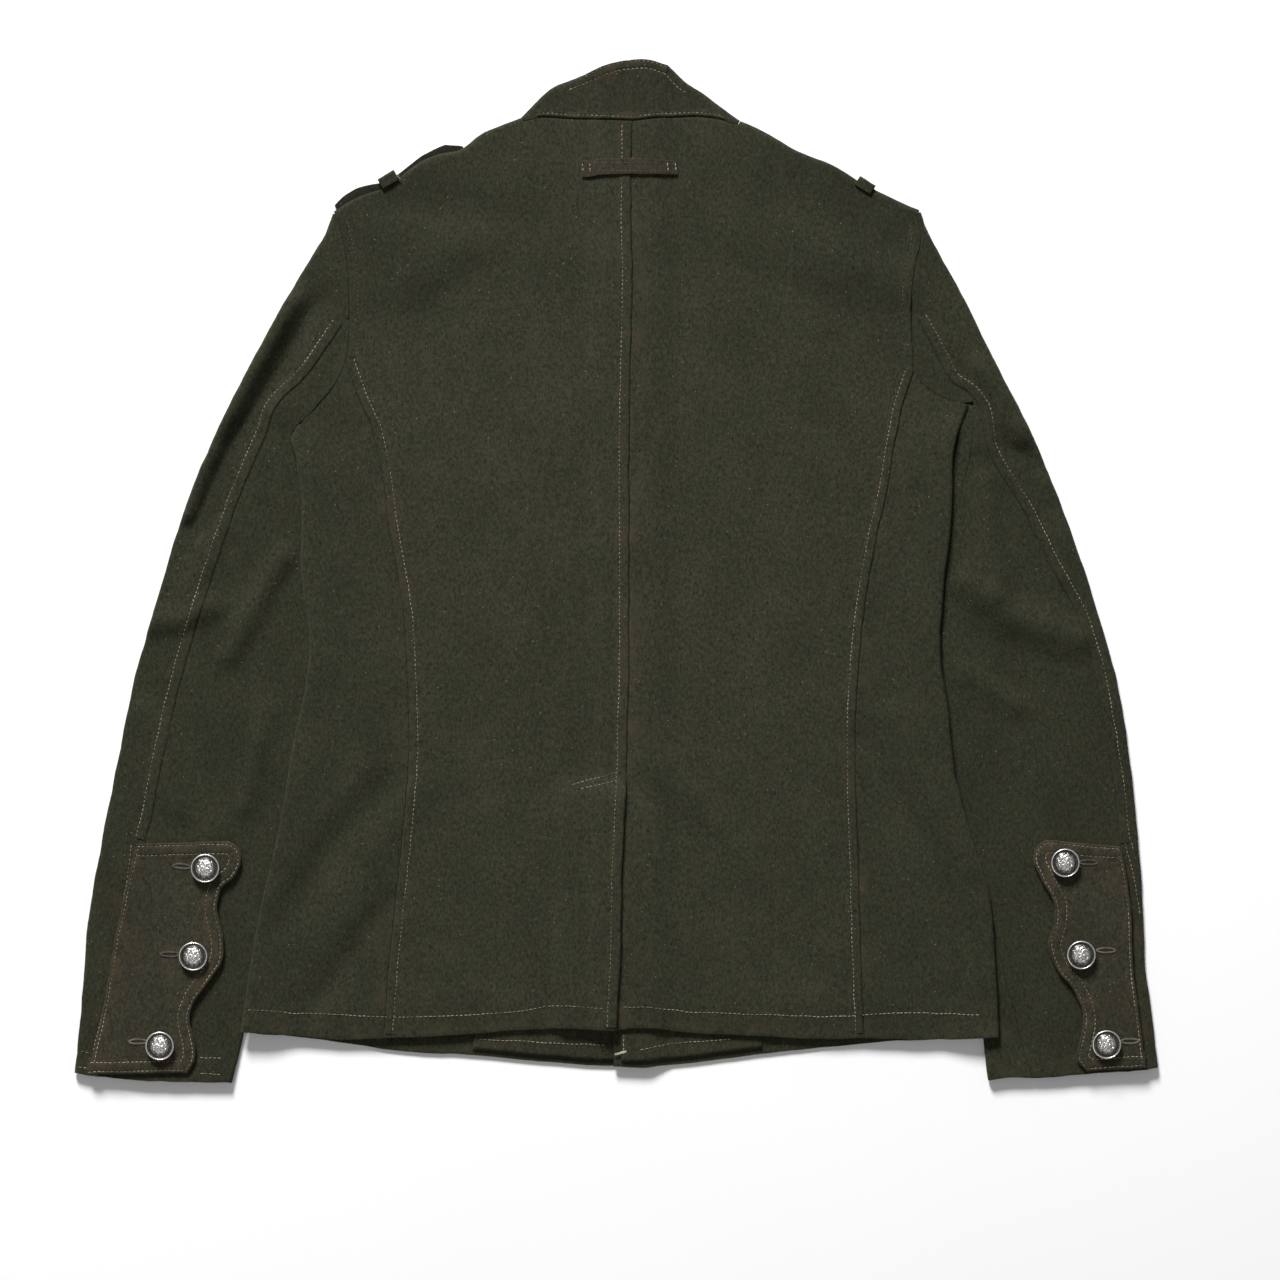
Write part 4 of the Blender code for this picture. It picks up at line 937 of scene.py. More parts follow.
def stitches(paths, seed=1):
    """The segments of one row of stitches along each path, slightly uneven as sewn by hand."""
    rng = np.random.default_rng(seed)
    rows = []
    for path in paths:
        path = np.asarray(path, float)
        along = lengths(path)
        start = np.arange(0.4, along[-1] - THREAD_LENGTH, THREAD_PITCH)
        start = start + rng.uniform(-0.25, 0.25, len(start))
        end = start + THREAD_LENGTH * rng.uniform(0.86, 1.08, len(start))
        p, q = at_lengths(start, along, path), at_lengths(end, along, path)
        run = unit(q - p)
        lean = rng.uniform(-0.09, 0.09, len(start))[:, None] * np.column_stack([-run[:, 1], run[:, 0]])
        rows.append(np.hstack([p - lean, q + lean]))
    return np.vstack(rows)


def offset(points, side, distance):
    return points + outward(points, side) * distance


def inset(edge, distance, middle):
    """The line a distance inside an open edge, with the loops at its corners cut away."""
    normal = normals(edge)
    normal = normal * np.sign(np.sum(normal[len(edge) // 2] * (middle - edge[len(edge) // 2])))
    p = edge + normal * distance
    gap = np.min(np.hypot(p[:, None, 0] - edge[None, :, 0], p[:, None, 1] - edge[None, :, 1]), axis=1)
    return p[gap > distance - 0.25]


def photo(name):
    """Named lines of the photograph as millimetres of the garment."""
    return [[((x - ZERO_X) * PIXEL, (ZERO_Y - y) * PIXEL) for x, y in rows] for rows in PHOTO_LINES[name]]


def seams(key):
    """The shared stations of one half's seams.

    A folded edge has its line, its direction out, the line where its flat part ends and its reach.
    """
    (side, sign), match = OUTWARDS[key], MATCH[key]
    away = (sign, 0.0)
    s = {"table": side}
    arm_knots = (match["arm_elbow"], match["arm_princess"], match["arm_seam"])
    s["arm"] = arm = stations(line(side["armhole"]), tuple(ARM.values()), arm_knots)
    pit_out = arm[-1] - arm[-4]
    pit_out /= np.hypot(*pit_out)
    pit_gap = np.array([sign * PIT_GAP, 0.0])
    top_out = np.array([sign * 0.33, 0.94])

    s["princess"] = stations(line(side["princess"]), (PRINCESS_ROWS,))
    s["princess"][0] = arm[ARM["elbow"] + ARM["princess"]]
    s["side_seam"] = stations(line(side["side_seam"]), (EDGE_ROWS,))
    s["side_seam"][0] = arm[-1 - ARM["pit"]]

    edge = stations(line(side["edge"]), (EDGE_ROWS,))
    k = below_pit(side, edge[:, 1], 25.0)
    depth = (BACK_MID - FLOOR_MID + WALL) / 2 * (1 - k) + (EDGE_REACH + WALL / 2) * k
    s["edge_reach"] = depth - WALL / 2
    out = outward(edge, away)
    s["edge_in"] = settle(edge - out * depth[:, None], arm[-1] - pit_gap, PIT_SETTLE)
    s["edge_out"] = turned(out, edge, pit_out, PIT_TURN)

    outer_counts = (ARM["elbow"], PIT_COLUMNS, SLEEVE_ROWS)
    outer = stations(line(side["outer"]), outer_counts, (match["outer_elbow"], match["outer_pit"]))
    out = outward(outer, away)
    s["outer_reach"] = np.full(len(outer), (SLEEVE_MID - FLOOR_MID) / 2)
    flat_end = outer - out * (s["outer_reach"][:, None] + WALL / 2)
    s["outer_in"] = settle(flat_end, arm[0], TIP_SETTLE)
    s["outer_out"] = turned(out, outer, top_out, TIP_TURN)

    s["elbow"] = stations(line(side["elbow"]), (PIT_COLUMNS, SLEEVE_ROWS), (match["elbow_pit"],))
    s["elbow"][0] = arm[ARM["elbow"]]

    inner = stations(line(side["inner"]), (SLEEVE_ROWS,))
    out = outward(inner, (-sign, 0.0))
    flat_end = inner - out * (INNER_REACH + WALL / 2)
    s["inner_in"] = settle(flat_end, arm[-1] + pit_gap, PIT_SETTLE)
    s["inner_out"] = turned(out, inner, pit_out, PIT_TURN)
    opening = 1 - smooth(lengths(inner) / PIT_TURN)
    s["inner_reach"] = INNER_REACH + (s["edge_reach"][0] - INNER_REACH) * opening

    s["neck"] = stations(line(side["neck"]), (NECK_COLUMNS,))
    s["neckline"] = stations(up_to(line(side["neckline"]), side["closing_x"]), (NECK_COLUMNS,))
    shoulder = stations(line(side["shoulder"]), (SHOULDER_COLUMNS,))
    out = outward(shoulder, (0.0, 1.0))
    s["shoulder_reach"] = np.full(SHOULDER_COLUMNS + 1, (BACK_MID - FLOOR_MID) / 2)
    flat_end = shoulder - out * (s["shoulder_reach"][:, None] + WALL / 2)
    flat_end = settle(flat_end, arm[0], SHOULDER_SETTLE)
    s["shoulder_in"] = settle(flat_end, s["neck"][0], SHOULDER_SETTLE, end=1)
    out = turned(out, shoulder, top_out, TIP_TURN)
    s["shoulder_out"] = turned(out, shoulder, (sign * 0.5, 0.87), TIP_TURN, end=1)
    seam = s["shoulder_in"] - s["shoulder_out"] * SHOULDER_TURN
    for end, beside in ((0, arm[:2]), (1, s["neckline"][:2])):
        run = beside[1] - beside[0]
        seam = settle(seam, beside[0] + run / np.hypot(*run) * SHOULDER_TURN, SHOULDER_SETTLE, end)
    s["shoulder_seam"] = seam
    return s


def under_edge_z(s, share):
    """The lower layer below the side edge: flat over the sleeve, then down to the floor."""
    side = s["table"]
    k = below_pit(side, s["edge_in"][:, 1], 25.0)
    level = FLOOR_MID + (LIP_MID - FLOOR_MID) * k
    width = np.hypot(*(s["side_seam"] - s["edge_in"]).T)
    away = width[:, None] * share[None, :]
    fall = smooth((away - TUCK) / DESCENT)
    return FLOOR_MID + (level[:, None] - FLOOR_MID) * (1 - fall)


def body_panels(key, s):
    """The centre back, with its turn over the shoulder, and the side panel round the side edge."""
    side = s["table"]
    split = ARM["elbow"] + ARM["princess"]
    height = back_left_z if key == "left" else back_z
    first = np.vstack([s["arm"][:split], s["princess"]])
    rows = len(first) - 1
    upper_rows = rows * 2 // 5
    vent_rows = rows * 3 // 10
    centre = stations(line(CENTRE_BACK), (upper_rows, rows - upper_rows - vent_rows, vent_rows),
                      ((10, 150), (8, VENT_TOP)))
    top = np.vstack([s["shoulder_in"], s["neck"][1:]])
    hem = stations(line(side["hem"]), (BACK_COLUMNS,))
    grid = patch(first, centre, BACK_COLUMNS, top, hem)
    upper = pull_in(with_height(grid, height), ("first", "last"))
    turn = fold_to_floor(upper[0, :SHOULDER_COLUMNS + 1], s["shoulder_out"], s["shoulder_reach"])
    seam = with_height(s["shoulder_seam"][:, None, :], lower_z)
    turn = np.concatenate([turn, seam], axis=1)
    turn[-1, 1:] = turn[-1, 1:] + (turn[-2, 1:] - turn[-1, 1:]) * 0.012
    turn[0, -1] = turn[0, -1] + (turn[1, -1] - turn[0, -1]) * 0.012
    grids = [upper, turn]
    if key == "right":
        far = centre[-vent_rows:] - np.array([UNDERLAP_WIDTH, 0.0])
        far[:, 1] -= 12.0 * (1 - smooth(np.linspace(0, 1, vent_rows) * 4.0))
        far[-1, 1] += 1.0
        lap = with_height(patch(far, upper[-vent_rows:, -1, :2], LOW_COLUMNS), height)
        lap[:, -1] = upper[-vent_rows:, -1]
        grids.append(lap)
    cloth("back_" + key, grids, WALL, "body")

    last = np.vstack([s["arm"][split:-1], s["edge_in"]])
    hem = stations(line(side["side_hem"]), (SIDE_COLUMNS,))[::-1]
    hem = hem + (s["edge_in"][-1] - hem[-1]) * np.linspace(0, 1, SIDE_COLUMNS + 1)[:, None]
    grid = patch(s["princess"], last, SIDE_COLUMNS, None, hem)
    top_part = pull_in(with_height(grid, height), ("first",))
    top_part = clear_armhole(top_part, PIT_ROWS)
    edge_line = top_part[PIT_ROWS:, -1]
    xy = edge_line[:, :2]
    share = np.linspace(0.0, 1.0, LOW_COLUMNS * 2 + 1)
    reach_in = share[None, :, None]
    flat = s["edge_in"][:, None, :] * (1 - reach_in) + s["side_seam"][:, None, :] * reach_in
    flat[0] += xy[0] - s["edge_in"][0]
    lower = np.dstack([flat, under_edge_z(s, share)])
    turn = fold_round(xy, s["edge_out"], s["edge_reach"], edge_line[:, 2], lower[:, 0, 2])
    lower[0, 1:] = pull_in(lower, ("top",), 1.0)[0, 1:]
    lower[:, 0] = turn[:, -1]
    lower = pull_in(lower, ("last",), 0.25)
    cloth("side_" + key, [top_part, turn, lower], WALL, "side")


def clear_armhole(grid, rows):
    """Moves the armhole part of a side into the panel by the seam gap."""
    grid = grid.copy()
    run = grid[:rows + 1, -2] - grid[:rows + 1, -1]
    size = np.maximum(np.linalg.norm(run, axis=1), 1e-6)[:, None]
    grid[:rows + 1, -1] += run / size * SEAM_GAP
    return grid


def front_panels(key, s):
    """One front, with its lap past the closing, and the facing on it."""
    side = s["table"]
    arm = s["arm"].copy()
    arm[0] = s["shoulder_seam"][0]
    first = np.vstack([arm[:-1 - ARM["pit"]], s["side_seam"]])
    rows = len(first) - 1
    closing_x = side["closing_x"]
    edge = stations(line(side["front_edge"]), (rows,))
    middle = edge + np.array([closing_x - edge[0, 0], 0.0])
    middle[0] = s["neckline"][-1]
    neckline = s["neckline"].copy()
    neckline[0] = s["shoulder_seam"][-1]
    top = np.vstack([s["shoulder_seam"], neckline[1:]])
    hem_line = line(side["front_hem"])
    hem = stations(up_to(hem_line, closing_x), (SHOULDER_COLUMNS, NECK_COLUMNS), (side["facing_hem"],))
    middle[-1] = hem[-1]
    edge[-1] = hem_line[-1]
    height = lower_z if key == "left" else front_right_z
    main_part = with_height(patch(first, middle, BACK_COLUMNS, top, hem), height)
    main_part = pull_in(pull_in(main_part, ("first",)), ("top",), 0.3)
    lap = with_height(patch(middle, edge, LOW_COLUMNS // 2), height)
    lap[:, 0] = main_part[:, -1]
    cloth("front_" + key, [main_part, lap], WALL, "body")
    facing = np.concatenate([main_part[:, SHOULDER_COLUMNS:], lap[:, 1:]], axis=1)
    facing = facing[1:-1, :-1]
    facing[..., 2] += (WALL + FACING_WALL) / 2 + LAYER_GAP
    cloth("facing_" + key, [facing], FACING_WALL, "body", bevel=0.0)


def sleeve_panels(key, s):
    """The top and under sleeve; the left under sleeve and the right top one turn round the inner edge."""
    side, arm, elbow = s["table"], s["arm"], s["elbow"]
    wrist = stations(line(side["cuff"]), (40,))

    def layer(first, last, columns, height):
        """A grid between two lines, its lower end on the cuff."""
        along = lengths(wrist)
        at = [along[np.argmin(np.hypot(*(wrist - p[-1]).T))] for p in (first, last)]
        hem = at_lengths(np.linspace(*at, columns + 1), along, wrist)
        share = np.linspace(0, 1, columns + 1)[:, None]
        hem = hem + (first[-1] - hem[0]) * (1 - share) + (last[-1] - hem[-1]) * share
        return with_height(patch(first, last, columns, None, hem), height)

    inseam = stations(line(side["inseam"]), (SLEEVE_ROWS,))
    if key == "left":
        inseam[0] = arm[-1 - ARM["pit"]]
        last = np.vstack([arm[:-1 - ARM["pit"]], np.repeat(inseam[:1], ARM["pit"], axis=0), inseam])
    else:
        last = np.vstack([arm[:-1], s["inner_in"]])
    top = layer(np.vstack([arm[:ARM["elbow"]], elbow]), s["outer_in"], TOP_COLUMNS, sleeve_z)
    top = pull_in(top, ("first",))
    top[0] = top[0, -1]
    turn = fold_to_floor(top[:, -1], s["outer_out"], s["outer_reach"])
    low = layer(s["outer_in"], last, UNDER_COLUMNS, lower_z)
    low[:, 0] = turn[:, -1]
    low[0] = low[0, 0]
    grids = [top, turn, low]
    if key == "left":
        low[:] = pull_in(low, ("last",))
    else:
        start = ARM["elbow"] + PIT_COLUMNS
        low[:start] = pull_in(low, ("last",))[:start]
        upper = sleeve_z(s["inner_in"][:, 0], s["inner_in"][:, 1])
        bend = fold_round(s["inner_in"], s["inner_out"], s["inner_reach"], upper, low[start:, -1, 2])
        bend[:, -1] = low[start:, -1]
        strip = pull_in(layer(s["inner_in"], inseam, LOW_COLUMNS, sleeve_z), ("last",))
        strip[:, 0] = bend[:, 0]
        strip[0] = bend[0, 0]
        grids += [bend, strip]
    for grid in grids[:3]:
        grid[0] = grid[0] + (grid[1] - grid[0]) * 0.1
    cloth("top_sleeve_" + key, grids, WALL, "sleeve_" + key)

    last = np.vstack([arm[ARM["elbow"]:-1], s["inner_in"] if key == "left" else inseam])
    up = pull_in(layer(elbow, last, UNDER_COLUMNS, sleeve_z), ("first",))
    grids = [up]
    if key == "right":
        up[:] = pull_in(up, ("last",))
        up[0] = up[0, 0]
    else:
        up[:PIT_COLUMNS] = pull_in(up, ("last",))[:PIT_COLUMNS]
    up[0] = up[0] + (up[1] - up[0]) * 0.5
    if key == "left":
        bend = fold_to_floor(up[PIT_COLUMNS:, -1], s["inner_out"], s["inner_reach"])
        tail = with_height(patch(s["inner_in"], inseam, LOW_COLUMNS), lower_z)
        tail[:, 0] = bend[:, -1]
        grids += [bend, pull_in(tail, ("last",))]
    cloth("under_sleeve_" + key, grids, WALL, "sleeve_" + key)


def collar_band(halves):
    """The collar's back half, its turns over both slopes and its front halves underneath."""
    base = neck_line(halves) + (0.0, SEAM_GAP)
    n, rows = len(base) - 1, 24
    share = np.linspace(0, 1, n + 1)[:, None]
    reach = (BACK_MID - FLOOR_MID) / 2
    slopes = []
    for key, s in halves.items():
        sign = OUTWARDS[key][1]
        p = stations(line(s["table"]["slope"]), (rows,))
        out = turned(outward(p, (sign * 0.6, 0.8)), p, (sign * 0.5, 0.87), 10.0)
        run = (s["neck"][1] - s["neck"][0]) / np.hypot(*(s["neck"][1] - s["neck"][0]))
        corner = s["neck"][0] + np.array([0.0, SEAM_GAP]) + run * 0.4
        slopes.append((settle(p - out * (reach + WALL / 2), corner, 10.0), out))
    (left_in, _), (right_in, _) = slopes
    crown = stations(line(COLLAR_TOP), (n,))
    crown = crown + (left_in[-1] - crown[0]) * (1 - share)
    crown = crown + (right_in[-1] - crown[-1]) * share
    base[0], base[-1] = left_in[0], right_in[0]
    upper = with_height(patch(left_in, right_in, n, base, crown), back_z)
    grids = [upper]
    share = np.linspace(0, 1, NECK_COLUMNS + 1)[:, None]
    for s, (flat_end, out), edge, height in zip(halves.values(), slopes, (upper[:, 0], upper[:, -1]),
                                                (lower_z, front_right_z)):
        turn = fold_to_floor(edge, out, np.full(rows + 1, reach))
        foot = offset(s["neckline"], (0.0, 1.0), SEAM_GAP + 0.3)
        head = stations(line(s["table"]["collar_front"]), (NECK_COLUMNS,))
        head = head + (flat_end[-1] - head[0]) * (1 - share)
        foot[0] = flat_end[0]
        centre = np.linspace(foot[-1], head[-1], rows + 1)
        half = with_height(patch(flat_end, centre, NECK_COLUMNS, foot, head), height)
        half[:, 0] = turn[:, -1]
        grids += [turn, half]
    cloth("collar", grids, WALL, "collar")


def neck_line(halves):
    return np.vstack([halves["left"]["neck"], halves["right"]["neck"][::-1][1:]])


def tab(key, s):
    """A cuff tab on its sleeve; gives the height of its middle over the sleeve's."""
    first, last = (stations(line(s["table"][name]), (TAB_ROWS,)) for name in ("tab_in", "tab_out"))
    lift = (WALL + TAB_WALL) / 2 + LAYER_GAP + 0.1
    grid = with_height(patch(first, last, TAB_COLUMNS), lambda x, y: sleeve_z(x, y, 0.0) + lift)
    cloth("cuff_tab_" + key, [grid], TAB_WALL, "cuff")
    return lift


def strap(key, s):
    """A shoulder strap, mostly under the shoulder, lying over its loop."""
    side = s["table"]
    p = np.array(side["strap"], float)
    first = stations(line(side["strap_edge"]), (40,))
    last = stations(np.vstack([p[4], p[4] + (p[3] - p[4]) * 0.96]), (40,))
    tip = stations(np.vstack([p[1], p[0], p[4]]), (12,))
    grid = with_height(patch(first, last, 12, tip, None),
                       lambda x, y: STRAP_WALL / 2 + loop_rise(side, x, y, 17.0, 14.0))
    cloth("shoulder_strap_" + key, [grid], STRAP_WALL, "strap")


def strap_loop(key, s):
    """A strip from the back over the shoulder's edge and along under the strap."""
    out, into = loop_path(s["table"])
    start = np.array(s["table"]["loop"][0], float)
    reach = np.hypot(*(out - start))
    run = (out - start) / reach
    across = np.array([run[1], -run[0]]) * LOOP_HALF_WIDTH
    top = start + np.linspace(0.0, reach, 14)[:, None] * run
    lift = (WALL + LOOP_WALL) / 2 + LAYER_GAP + 0.5
    z_top = np.maximum.accumulate(back_z(top[:, 0], top[:, 1])[::-1])[::-1] + lift
    angle = np.linspace(np.pi / 2, -np.pi / 2, 15)[1:]
    radius = (z_top[-1] - LOOP_WALL / 2) / 2
    turn = out + run * (1.6 * np.cos(angle))[:, None]
    z_turn = LOOP_WALL / 2 + radius * (1 + np.sin(angle))
    below = stations(np.vstack([out, into]), (12,))[1:]
    path = np.vstack([top, turn, below])
    z = np.concatenate([z_top, z_turn, np.full(len(below), LOOP_WALL / 2)])
    crown = 0.5 * smooth((z - 3.0) / 3.0)
    grid = np.stack([np.column_stack([path + across * k, z - crown * k * k])
                     for k in np.linspace(-1.0, 1.0, 11)], axis=1)
    cloth("strap_loop_" + key, [grid], LOOP_WALL, "collar", bevel=0.0)


def hanger_level(x):
    """The middle of the hanger loop, just over the highest of the back below it."""
    rows = [back_z(x + aside, np.full_like(x, y)) for aside in (-1.5, 1.5) for y in (297.0, 303.0, 309.0)]
    near = (x - HANGER[0][0]) / (HANGER[1][0] - HANGER[0][0])
    bow = 0.5 * np.sin(np.pi * np.clip(near, 0, 1)) ** 2
    return np.max(rows, axis=0) + (WALL + HANGER_WALL) / 2 + 0.1 + bow


def hanger():
    p = np.array(HANGER, float)
    flat = patch(stations(p[[0, 3]], (10,)), stations(p[[1, 2]], (10,)), HANGER_COLUMNS)
    place = np.dstack([flat, hanger_level(flat[..., 0])])
    place[..., 1] += 1.2 * np.sin(np.pi * np.linspace(0, 1, HANGER_COLUMNS + 1))
    cloth("hanger_loop", [place], HANGER_WALL, "trim", bevel=0.3)


# Buttons, buttonholes and sewing


def button_height(r, a):
    """The height of a button's face, and a mask of patina in its hollows with painted shade on the dome's
    flanks; r is 0 to 1 of the radius.
    """
    dome = np.interp(r, (0.0, 0.25, 0.45, 0.60, 0.70, 0.77, 0.81, 0.84, 0.87, 0.92, 0.97, 1.0),
                     (5.9, 5.75, 5.3, 4.7, 4.05, 3.4, 3.05, 3.15, 3.9, 4.7, 4.55, 3.9))
    point = np.abs(((a / (2 * np.pi) * STAR_POINTS) % 1.0) - 0.5) * 2
    reach = 0.12 + 0.20 * point ** 1.4
    star = smooth((reach - r) / 0.05)
    beads = np.cos(a * 11) * 0.5 + 0.5
    ring = np.exp(-((r - 0.66) / 0.035) ** 2) * smooth(beads * 1.6)
    leaf = np.sin(a * 9 + np.sign(np.sin(a)) * (r - 0.47) * 26) * 0.5 + 0.5
    wreath = np.exp(-((r - 0.47) / 0.09) ** 2) * smooth(leaf * 1.5)
    x, y = r * np.cos(a) * 14, r * np.sin(a) * 14
    beaten = (noise(x * 1.1 + 3, y * 1.1) + 0.6 * noise(x * 2.7, y * 2.7 + 9)) * smooth((0.74 - r) / 0.05)
    relief = 0.42 * star + 0.34 * ring + 0.36 * wreath + 0.15 * beaten
    patina = (1 - smooth((relief + 0.05) / 0.30)) * smooth((0.80 - r) / 0.05)
    patina = patina * (0.35 + 0.65 * smooth((r - 0.20) / 0.45))
    # painted shade: the dome's sloping flanks are darkened almost to black
    painted_flank_shade = smooth((r - 0.52) / 0.16) * smooth((0.885 - r) / 0.02)
    return dome + relief, np.clip(np.maximum(patina, 0.97 * painted_flank_shade), 0, 1)


def button(name, centre, base):
    """A domed button with its shank, standing at the height base."""
    turn = np.linspace(0, 2 * np.pi, 120, endpoint=False)
    rings = np.concatenate([np.linspace(0.02, 0.8, 44), np.linspace(0.82, 1.0, 16)])
    r, a = np.meshgrid(rings, turn + 0.3, indexing="ij")
    z, shade = button_height(r, a)
    under = ((0.93, 2.9), (0.6, 2.4), (0.35, 2.2), (0.28, 0.0))
    r = np.vstack([r] + [np.full((1, len(turn)), u[0]) for u in under])
    z = np.vstack([z] + [np.full((1, len(turn)), u[1]) for u in under])
    shade = np.vstack([shade, np.zeros((len(under), len(turn)))])
    a = np.vstack([a[:1]] * len(r))
    x = r * BUTTON_RADIUS * np.cos(a) + centre[0] + ORIGIN[0]
    y = r * BUTTON_RADIUS * np.sin(a) + centre[1] + ORIGIN[1]
    n = len(turn)
    verts = np.stack([x, y, z + base], axis=-1).reshape(-1, 3)
    faces = [(i * n + j, (i + 1) * n + j, (i + 1) * n + (j + 1) % n, i * n + (j + 1) % n)
             for i in range(len(r) - 1) for j in range(n)]
    faces.append(tuple(range(n)))
    faces.append(tuple(range((len(r) - 1) * n, len(r) * n))[::-1])
    mesh = bpy.data.meshes.new(name)
    mesh.from_pydata((verts * MM).tolist(), [], faces)
    mark(mesh, "patina_and_painted_shade", shade.reshape(-1))
    mesh.shade_smooth()
    obj = linked("fine_" + name, mesh)
    mesh.materials.append(FINISH["metal"])
    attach(obj, "root")
    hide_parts(name)


def buttonhole(centre, seed):
    """The segments of thread worked round a slit."""
    rng = np.random.default_rng(seed)
    a = np.linspace(0, 2 * np.pi, 54, endpoint=False)
    inner = np.column_stack([5.4 * np.cos(a), 0.7 * np.sin(a)])
    outer = np.column_stack([(7.6 + rng.uniform(-0.3, 0.3, 54)) * np.cos(a),
                             (2.7 + rng.uniform(-0.2, 0.2, 54)) * np.sin(a)])
    return np.hstack([inner + centre, outer + centre])


def slit(centre, base):
    """A near-black sheet of painted shade over the opening of a buttonhole."""
    a = np.linspace(0, 2 * np.pi, 28, endpoint=False)
    x = centre[0] + 5.9 * np.cos(a)
    y = centre[1] + 0.75 * np.sin(a)
    z = base(x, y) + 0.12
    mesh = bpy.data.meshes.new("slit")
    mesh.from_pydata(wobble(np.column_stack([x, y, z])).tolist(), [], [tuple(range(28))])
    return mesh


def top_of(height, wall=WALL):
    return lambda x, y: height(np.asarray(x, float), np.asarray(y, float)) + wall / 2


def raised(name, strips, finish, owner, wear):
    """Raised strips of cloth, all equally worn."""
    mesh = grid_mesh(name, strips)
    mark(mesh, "wear", np.full(len(mesh.vertices), wear))
    loose(name, mesh, finish, owner)


def sew(name, paths, seed, base, owner, finish="thread", radius=THREAD_RADIUS):
    """A row of stitches along each path."""
    loose(name, threads(stitches(paths, seed), base, radius), finish, owner)


def fine_line(rows):
    return line(rows, STITCH_STEP)


def fine_photo(name):
    return [fine_line(rows) for rows in photo(name)]


def piece_of(points, start_y, end_y):
    """The part of a line that runs down the garment between two heights."""
    keep = (points[:, 1] <= start_y) & (points[:, 1] >= end_y)
    return points[keep]


def sew_body():
    body = top_of(back_z)
    body_left = top_of(back_left_z)
    centre = piece_of(fine_line(CENTRE_BACK), 336, -342)
    raised("centre_back_ridge", [ridge(centre, (-1, 0), (CENTRE_ROW,), 0.75, body_left)], "body",
           "back_left", 0.55)
    sew("centre_back_stitches", [offset(centre, (-1, 0), CENTRE_ROW)], 1, body_left, "back_left")
    sew("vent_bartacks", photo("vent_bartacks"), 3, body_left, "back_left")
    for key, (side, sign) in OUTWARDS.items():
        towards = (-sign, 0)
        princess = piece_of(fine_line(side["princess"]), 400, -347)
        arm = piece_of(fine_line(side["armhole"]), 262, 162)
        strips = [ridge(princess, towards, (PRINCESS_ROW,), 0.6, body),
                  ridge(arm, towards, (ARMHOLE_ROW,), 0.22, body)]
        owner = "back_" + key
        raised(owner + "_seam_ridges", strips, "body", owner, 0.5)
        sew(owner + "_stitches", [offset(princess, towards, PRINCESS_ROW)], 5, body, owner)
        sew(owner + "_armhole_stitches", [offset(arm, towards, ARMHOLE_ROW)], 6, body, owner,
            "dull_thread", 0.27)
    for key, height in (("left", body_left), ("right", body)):
        sew("hem_stitches_" + key, fine_photo("hem_" + key), 7, height, "back_" + key)


def sew_fronts():
    """The hem stitching of the fronts that shows below the back, on the facings."""
    lift = (WALL + FACING_WALL) / 2 + LAYER_GAP
    left = top_of(lambda x, y: lower_z(x, y) + lift, FACING_WALL)
    right = top_of(lambda x, y: front_right_z(x, y) + lift, FACING_WALL)
    sew("front_left_stitches", fine_photo("front_left"), 17, left, "facing_left")
    rows = fine_photo("front_right") + photo("front_right_end")
    sew("front_right_stitches", rows, 18, right, "facing_right")
    start, end = photo("front_bartack")[0]
    rows = [[start[0], start[1] + k, end[0], end[1] + k] for k in (-0.5, 0.0, 0.5)]
    loose("front_bartack", threads(rows, right, 0.3, 0.2), "white_thread", "facing_right")


def sew_white():
    """The short whitish tacks at the end of the vent and at the left strap loop."""
    sew("vent_end_tack", photo("vent_end"), 19, top_of(back_left_z), "back_left", "white_thread", 0.3)
    start, end = photo("loop_tack")[0]
    rows = [[*start, *end], [start[0] + 1, start[1] + 1, end[0] - 1, end[1] + 1.5]]
    loose("loop_tack", threads(rows, top_of(back_z), 0.3, 2.2), "white_thread", "strap_loop_left")


def sew_collar(halves):
    body = top_of(back_z)
    neck = stations(neck_line(halves), (130,)) + (0.0, SEAM_GAP)
    crown = stations(line(COLLAR_TOP), (50,))
    strips = [ridge(neck[9:-9], (0, 1), (NECK_ROW,), 0.9, body),
              ridge(crown, (0, -1), COLLAR_ROWS, 0.55, body)]
    raised("collar_ridges", strips, "collar", "collar", 0.9)
    left, right = (fine_line(s["table"]["slope"]) for s in halves.values())
    whole = np.vstack([left, crown[1:-1], right[::-1]])
    rows = [offset(neck, (0, 1), NECK_ROW)[9:-9], offset(whole, (0, -1), COLLAR_ROWS[1])[34:-34],
            offset(crown, (0, -1), COLLAR_ROWS[0])]
    sew("collar_stitches", rows, 9, body, "collar")


def sew_sleeves():
    top = top_of(sleeve_z)
    for key, start_y in (("left", 185), ("right", 190)):
        (side, sign), far = OUTWARDS[key], ELBOW_ROW[key]
        elbow = piece_of(fine_line(side["elbow"]), start_y, side["tab_in"][0][1] + 2)
        owner = "top_sleeve_" + key
        raised(owner + "_ridge", [ridge(elbow, (sign, 0), (far,), 0.6, top)], "sleeve_" + key,
               owner, 0.35)
        rows = [offset(elbow, (sign, 0), far)] + fine_photo("sleeve_" + key)
        sew(owner + "_stitches", rows, 11, top, owner)


